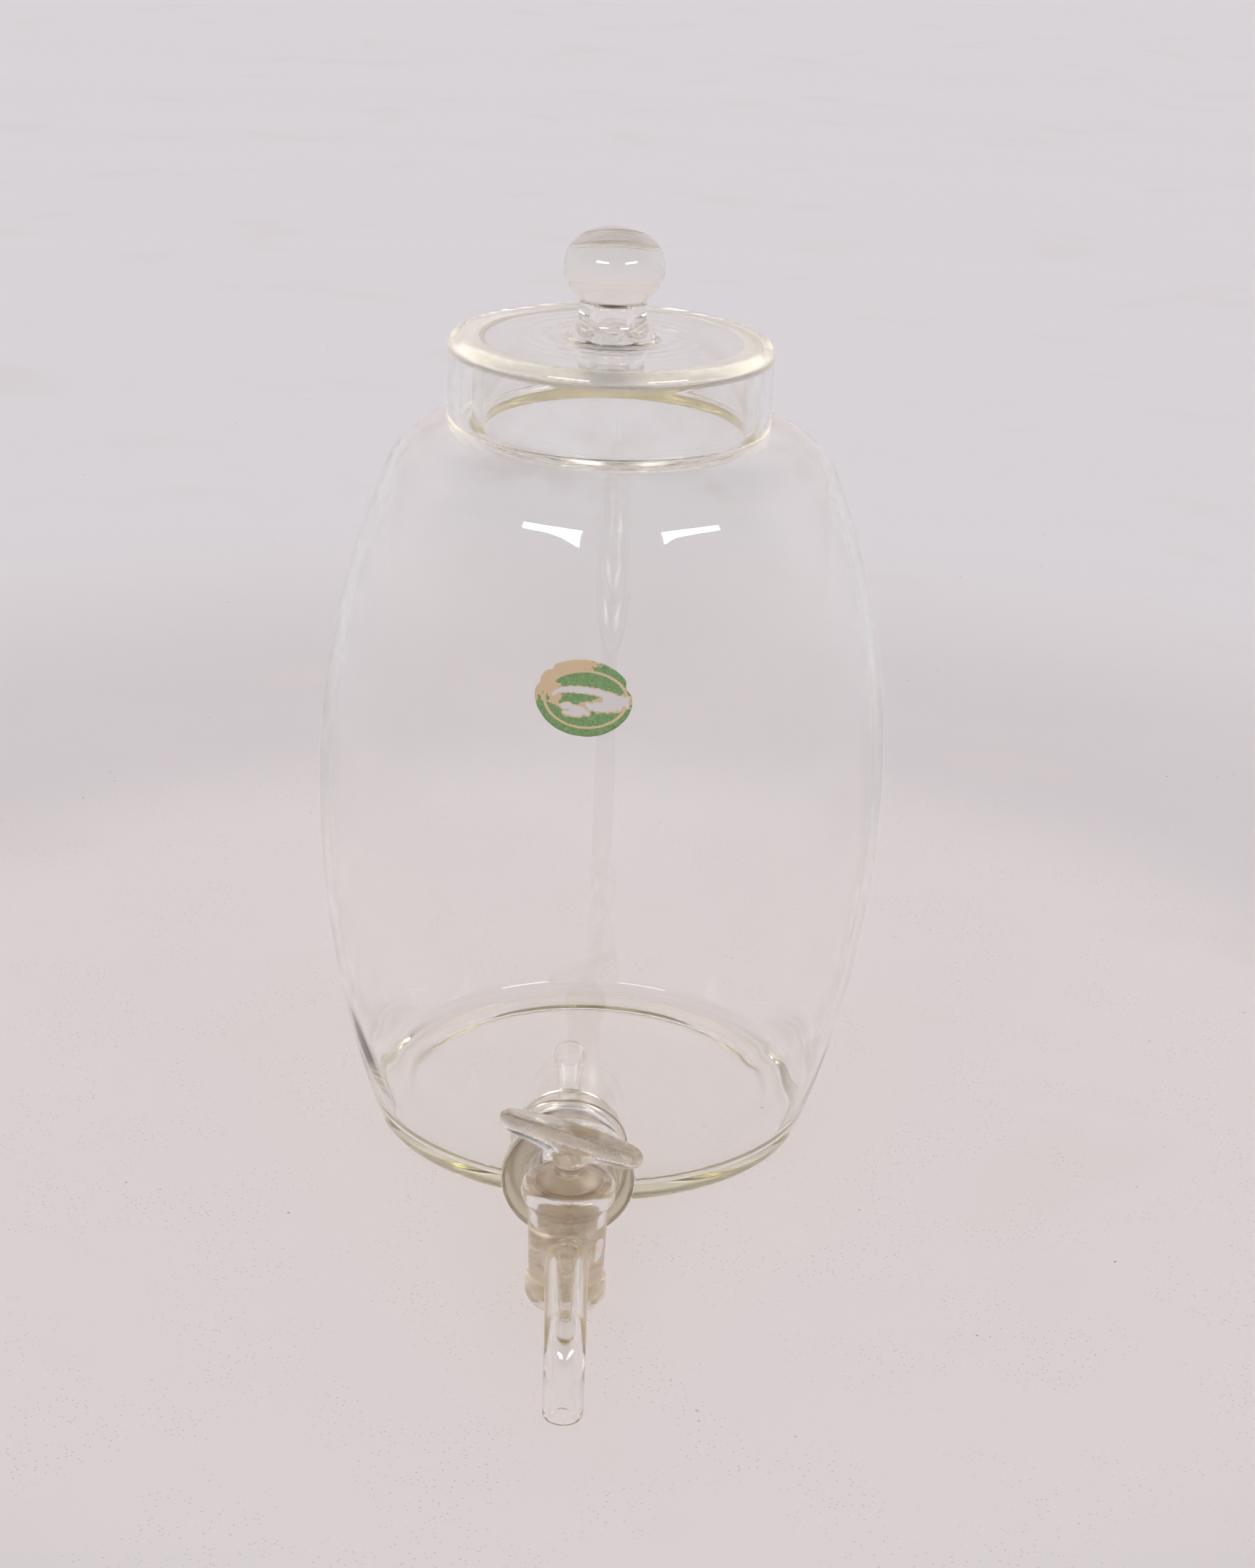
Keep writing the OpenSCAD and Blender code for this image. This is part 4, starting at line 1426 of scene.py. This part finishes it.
@dataclass
class Label:
    """The oval paper label on the belly.

    Attributes are sizes in millimetres.
    """

    belly_r: float = 117.9
    belly_z: float = 150.0
    arc_r: float = 357.0
    half_w: float = 18.6
    half_h: float = 14.3
    centre_x: float = 0.0
    centre_z: float = 226.5
    tilt: float = 4.0
    lift: float = 0.03
    thickness: float = 0.2

    def build(self) -> bpy.types.Object:
        """Builds the label: an oval disc laid on the belly.

        A point at (u, v) in the oval stands on the belly at x = u, z = v and
        y = -sqrt((r(z) + lift)^2 - x^2), where r is the belly's upper arc.

        Returns:
            The label.
        """
        turn = np.linspace(0.0, 2.0 * math.pi, 144, endpoint=False)
        share = np.r_[0.0, np.linspace(0.03, 1.0, 26)][:, None]
        edge = 1.0 - 0.004 * (1 + np.sin(7 * turn + 0.4)) - 0.003 * (1 + np.sin(19 * turn))
        for bite, depth, width in ((2.40, 0.06, 0.07), (2.88, 0.045, 0.09), (0.40, 0.08, 0.16)):
            edge -= depth * np.exp(-(((turn - bite) / width) ** 2))
        u0, v0 = self.half_w * share * np.cos(turn) * edge, self.half_h * share * np.sin(turn) * edge
        slope = math.radians(self.tilt)
        u = self.centre_x + u0 * math.cos(slope) + v0 * math.sin(slope)
        v = self.centre_z - u0 * math.sin(slope) + v0 * math.cos(slope)
        sheets = []
        for lift in (self.lift + self.thickness, self.lift):
            radius = self.belly_r - self.arc_r + np.sqrt(self.arc_r**2 - (v - self.belly_z) ** 2) + lift
            sheets.append(np.stack([u, -np.sqrt(radius**2 - u**2), v], axis=-1))
        maker = MeshMaker("label")
        maker.skin(add_turned(maker, np.concatenate([sheets[0], sheets[1][::-1]])))
        piece = maker.make()
        settle(piece, Body.JAR, ["paper_label"])
        return piece

    def finish(self, piece: bpy.types.Object) -> None:
        """Old green paper with a thin cream ring, worn cream patches and a torn white streak.

        Args:
            piece: The label.
        """
        graph = Graph.material("label_paper")
        x, _, z = graph.place()
        u, v = (x - self.centre_x * MM) / (self.half_w * MM), (z - self.centre_z * MM) / (self.half_h * MM)
        rough = graph.noise(0.0016, 4.0) - 0.5
        cream, white = (0.67, 0.49, 0.31), (0.70, 0.65, 0.65)
        mottle = graph.noise(0.0009, 4.0, roughness=0.7)
        green = graph.mix(mottle.ramp(0.3, 0.75), (0.125, 0.26, 0.075), (0.27, 0.40, 0.19))
        ring = abs(graph.near(u, v, (0.045, -0.03), (0.84, 0.73)) - 1.0 + 0.02 * rough).ramp(0.05, 0.03)
        outside = graph.near(u, v, (0.045, -0.03), (0.84, 0.73)).ramp(0.97, 1.0)
        wear_and_painted_shade = outside * (v * 0.9 - u * 0.75 + 0.9 * rough).ramp(0.52, 0.62)
        patch = graph.near(u, v, (-0.60, 0.12), (0.17, 0.34)) + 1.6 * rough
        paper = graph.mix(ring.most(wear_and_painted_shade).most(patch.ramp(1.0, 0.85)), green, cream)
        bend = (-0.35 - u).most(0.0)
        middle = 0.22 - 0.30 * (u + 0.15) * (u + 0.15) - 1.2 * bend * bend
        ends = u.ramp(-0.72, -0.60) * u.ramp(0.96, 0.90)
        streak = abs(v - middle) / (0.075 + 0.03 * u) + (1.0 - ends) * 3.0 + 1.5 * rough
        blots = (((-0.13, -0.34), (0.22, 0.13)), ((-0.33, -0.22), (0.13, 0.08)),
                 ((0.43, -0.20), (0.36, 0.12)), ((0.66, -0.04), (0.26, 0.14)))
        for spot, size in blots:
            streak = streak.least(graph.near(u, v, spot, size) + 1.5 * rough)
        paper = graph.mix(streak.ramp(1.5, 1.3), paper, cream)
        paper = graph.mix(streak.ramp(1.12, 0.95), paper, white)
        speck = graph.specks(0.0026, 0.13) * (v - 0.4 * u).ramp(0.1, -0.5)
        paper = graph.mix(speck * 0.85, paper, (0.03, 0.03, 0.02))
        normal = graph.bump(graph.noise(0.0004, 3.0), 0.0001)
        surface = graph.principled({"Base Color": paper, "Roughness": 0.75, "Normal": normal})
        dress(piece, graph.output(surface))


# --------------------------------------------------------------------------------------------------
# Studio
# --------------------------------------------------------------------------------------------------


@dataclass
class Studio:
    """Pale floor, soft surroundings, two wide low lamps either side of the camera, and the camera.

    Attributes:
        eye: Place of the camera in metres.
        turn: Direction it looks in, in degrees from +Y towards +X.
        pitch: How far it looks down, in degrees.
        roll: How far it is tipped about the direction it looks in, in degrees.
        focal: Focal length in millimetres.
    """

    eye: tuple[float, float, float] = (0.078857, -1.107718, 0.5954)
    turn: float = -3.490
    pitch: float = 21.92
    roll: float = 2.46
    focal: float = 65.15

    def camera(self) -> None:
        """Places the camera, with its picture's long side on the given focal length."""
        data = bpy.data.cameras.new("camera")
        data.lens, data.sensor_width = self.focal, FILM
        camera = bpy.data.objects.new("camera", data)
        yaw, pitch, roll = (math.radians(a) for a in (self.turn, self.pitch, self.roll))
        ahead = Vector((math.sin(yaw) * math.cos(pitch), math.cos(yaw) * math.cos(pitch), -math.sin(pitch)))
        right = Vector((math.cos(yaw), -math.sin(yaw), 0.0))
        above = right.cross(ahead)
        across = right * math.cos(roll) + above * math.sin(roll)
        up = above * math.cos(roll) - right * math.sin(roll)
        frame = Matrix((across, up, -ahead)).transposed()
        camera.matrix_world = Matrix.Translation(self.eye) @ frame.to_4x4()
        bpy.context.scene.collection.objects.link(camera)
        bpy.context.scene.camera = camera

    def floor(self) -> None:
        """Lays a wide pale floor with faint specks and a ring of painted shade where a backdrop's cove would
        be shaded.
        """
        half, level = 30.0, -2e-4
        corners = [(x * half, y * half, level) for x, y in ((-1, -1), (1, -1), (1, 1), (-1, 1))]
        mesh = bpy.data.meshes.new("floor")
        mesh.from_pydata(corners, [], [(0, 1, 2, 3)])
        floor = bpy.data.objects.new("floor", mesh)
        bpy.context.scene.collection.objects.link(floor)
        graph = Graph.material("floor_paper")
        x, y, _ = graph.place()
        reach = (x * x + y * y).root()
        # Painted shade: a darker ring about 0.33 to 0.95 m from the jar, where a backdrop's cove would be
        # shaded; the wide noise varies its depth.
        band = reach.ramp(0.33, 0.47) * reach.ramp(0.95, 0.55)
        wide = graph.noise(0.14, 3.0)
        colour = graph.mix(band * (0.75 + 0.4 * wide), (0.775, 0.708, 0.718), (0.690, 0.632, 0.650))
        colour = graph.mix(reach.ramp(0.55, 0.95), colour, (0.760, 0.720, 0.752))
        colour = graph.mix(wide.ramp(0.56, 0.72) * 0.35, colour, (0.735, 0.660, 0.650))
        pits = graph.specks(0.0024, 0.20) * graph.noise(0.05, 2.0).ramp(0.40, 0.62) * reach.ramp(0.6, 0.3)
        blots = graph.specks(0.012, 0.06) * graph.noise(0.045, 2.0).ramp(0.56, 0.66)
        colour = graph.mix(pits * 0.45, colour, (0.34, 0.28, 0.26))
        colour = graph.mix(blots * 0.75, colour, (0.10, 0.09, 0.09))
        dress(floor, graph.output(graph.principled({"Base Color": colour, "Roughness": 0.8})))

    def lamp(self, name: str, azimuth: float, elevation: float, distance: float, size: tuple[float, float],
             power: float) -> None:
        """Hangs a soft rectangular lamp that faces the jar.

        Args:
            name: Name of the lamp.
            azimuth: Direction from the jar, in degrees from -Y towards +X.
            elevation: Height above level, in degrees.
            distance: Distance from the jar in metres.
            size: Width and height in metres.
            power: Power in watts.
        """
        data = bpy.data.lights.new(name, "AREA")
        data.shape, data.size, data.size_y, data.energy = "RECTANGLE", size[0], size[1], power
        lamp = bpy.data.objects.new(name, data)
        a, e = math.radians(azimuth), math.radians(elevation)
        target = Vector((0.0, 0.0, 0.2))
        away = Vector((math.sin(a) * math.cos(e), -math.cos(a) * math.cos(e), math.sin(e)))
        lamp.location = target + away * distance
        lamp.rotation_euler = away.to_track_quat("Z", "Y").to_euler()
        lamp.visible_diffuse = False
        bpy.context.scene.collection.objects.link(lamp)

    def dome(self, name: str, azimuth: float, elevation: float, spread: float, strength: float) -> None:
        """Lights everything evenly from a wide cone of directions, seen by no mirror.

        Args:
            name: Name of the lamp.
            azimuth: Middle direction, in degrees from -Y towards +X.
            elevation: Middle height above level, in degrees.
            spread: Full angle of the cone in degrees.
            strength: Light that falls on a face turned to it, in watts per square metre.
        """
        data = bpy.data.lights.new(name, "SUN")
        data.angle, data.energy = math.radians(spread), strength
        data.cycles.use_multiple_importance_sampling = False
        lamp = bpy.data.objects.new(name, data)
        a, e = math.radians(azimuth), math.radians(elevation)
        away = Vector((math.sin(a) * math.cos(e), -math.cos(a) * math.cos(e), math.sin(e)))
        lamp.rotation_euler = away.to_track_quat("Z", "Y").to_euler()
        bpy.context.scene.collection.objects.link(lamp)

    def lights(self) -> None:
        """Sets the lamps and the pale surroundings."""
        self.dome("dome", azimuth=0.0, elevation=90.0, spread=150.0, strength=2.25)
        middle, apart = 10.0, 36.0
        for side, name in ((-1.0, "left"), (1.0, "right")):
            azimuth = middle + side * apart
            self.lamp(f"lamp_{name}", azimuth, elevation=30.0, distance=1.9, size=(0.9, 0.20), power=10.0)
            self.dome(f"wash_{name}", azimuth, elevation=38.0, spread=24.0, strength=0.38)
        world = bpy.data.worlds.new("surroundings")
        bpy.context.scene.world = world
        graph = Graph(world)
        _, y, z = graph.place("Generated")
        backdrop = y.ramp(-0.25, 0.25) * z.ramp(0.85, 0.45)
        dark, pale = (0.10, 0.09, 0.085), (0.72, 0.66, 0.67)
        colour = graph.mix(backdrop.most(z.ramp(0.50, 0.02)), dark, pale)
        graph.output(graph.node("ShaderNodeBackground", {}, {"Color": colour}))
        world.cycles_visibility.diffuse = False

    def tracing(self) -> None:
        """Lets rays pass as many glass faces as the jar, lid and stopcock put in their way."""
        scene = bpy.context.scene
        scene.view_settings.view_transform = "Standard"
        cycles = scene.cycles
        cycles.max_bounces = cycles.transmission_bounces = cycles.glossy_bounces = 128
        cycles.transparent_max_bounces = 64
        cycles.caustics_refractive = cycles.caustics_reflective = False
        cycles.use_denoising = True

    def build(self) -> None:
        """Builds the studio."""
        self.floor()
        self.lights()
        self.camera()
        self.tracing()


def main() -> None:
    """Builds every piece around the fixed part."""
    logging.basicConfig(level=logging.INFO, format="%(name)s: %(message)s")
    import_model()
    Studio().build()
    for part in (Jar(), Lid(), Stopcock(), Key(), Label()):
        piece = part.build()
        part.finish(piece)
        LOG.info("%s is done", piece.name)


if __name__ == "__main__":
    main()
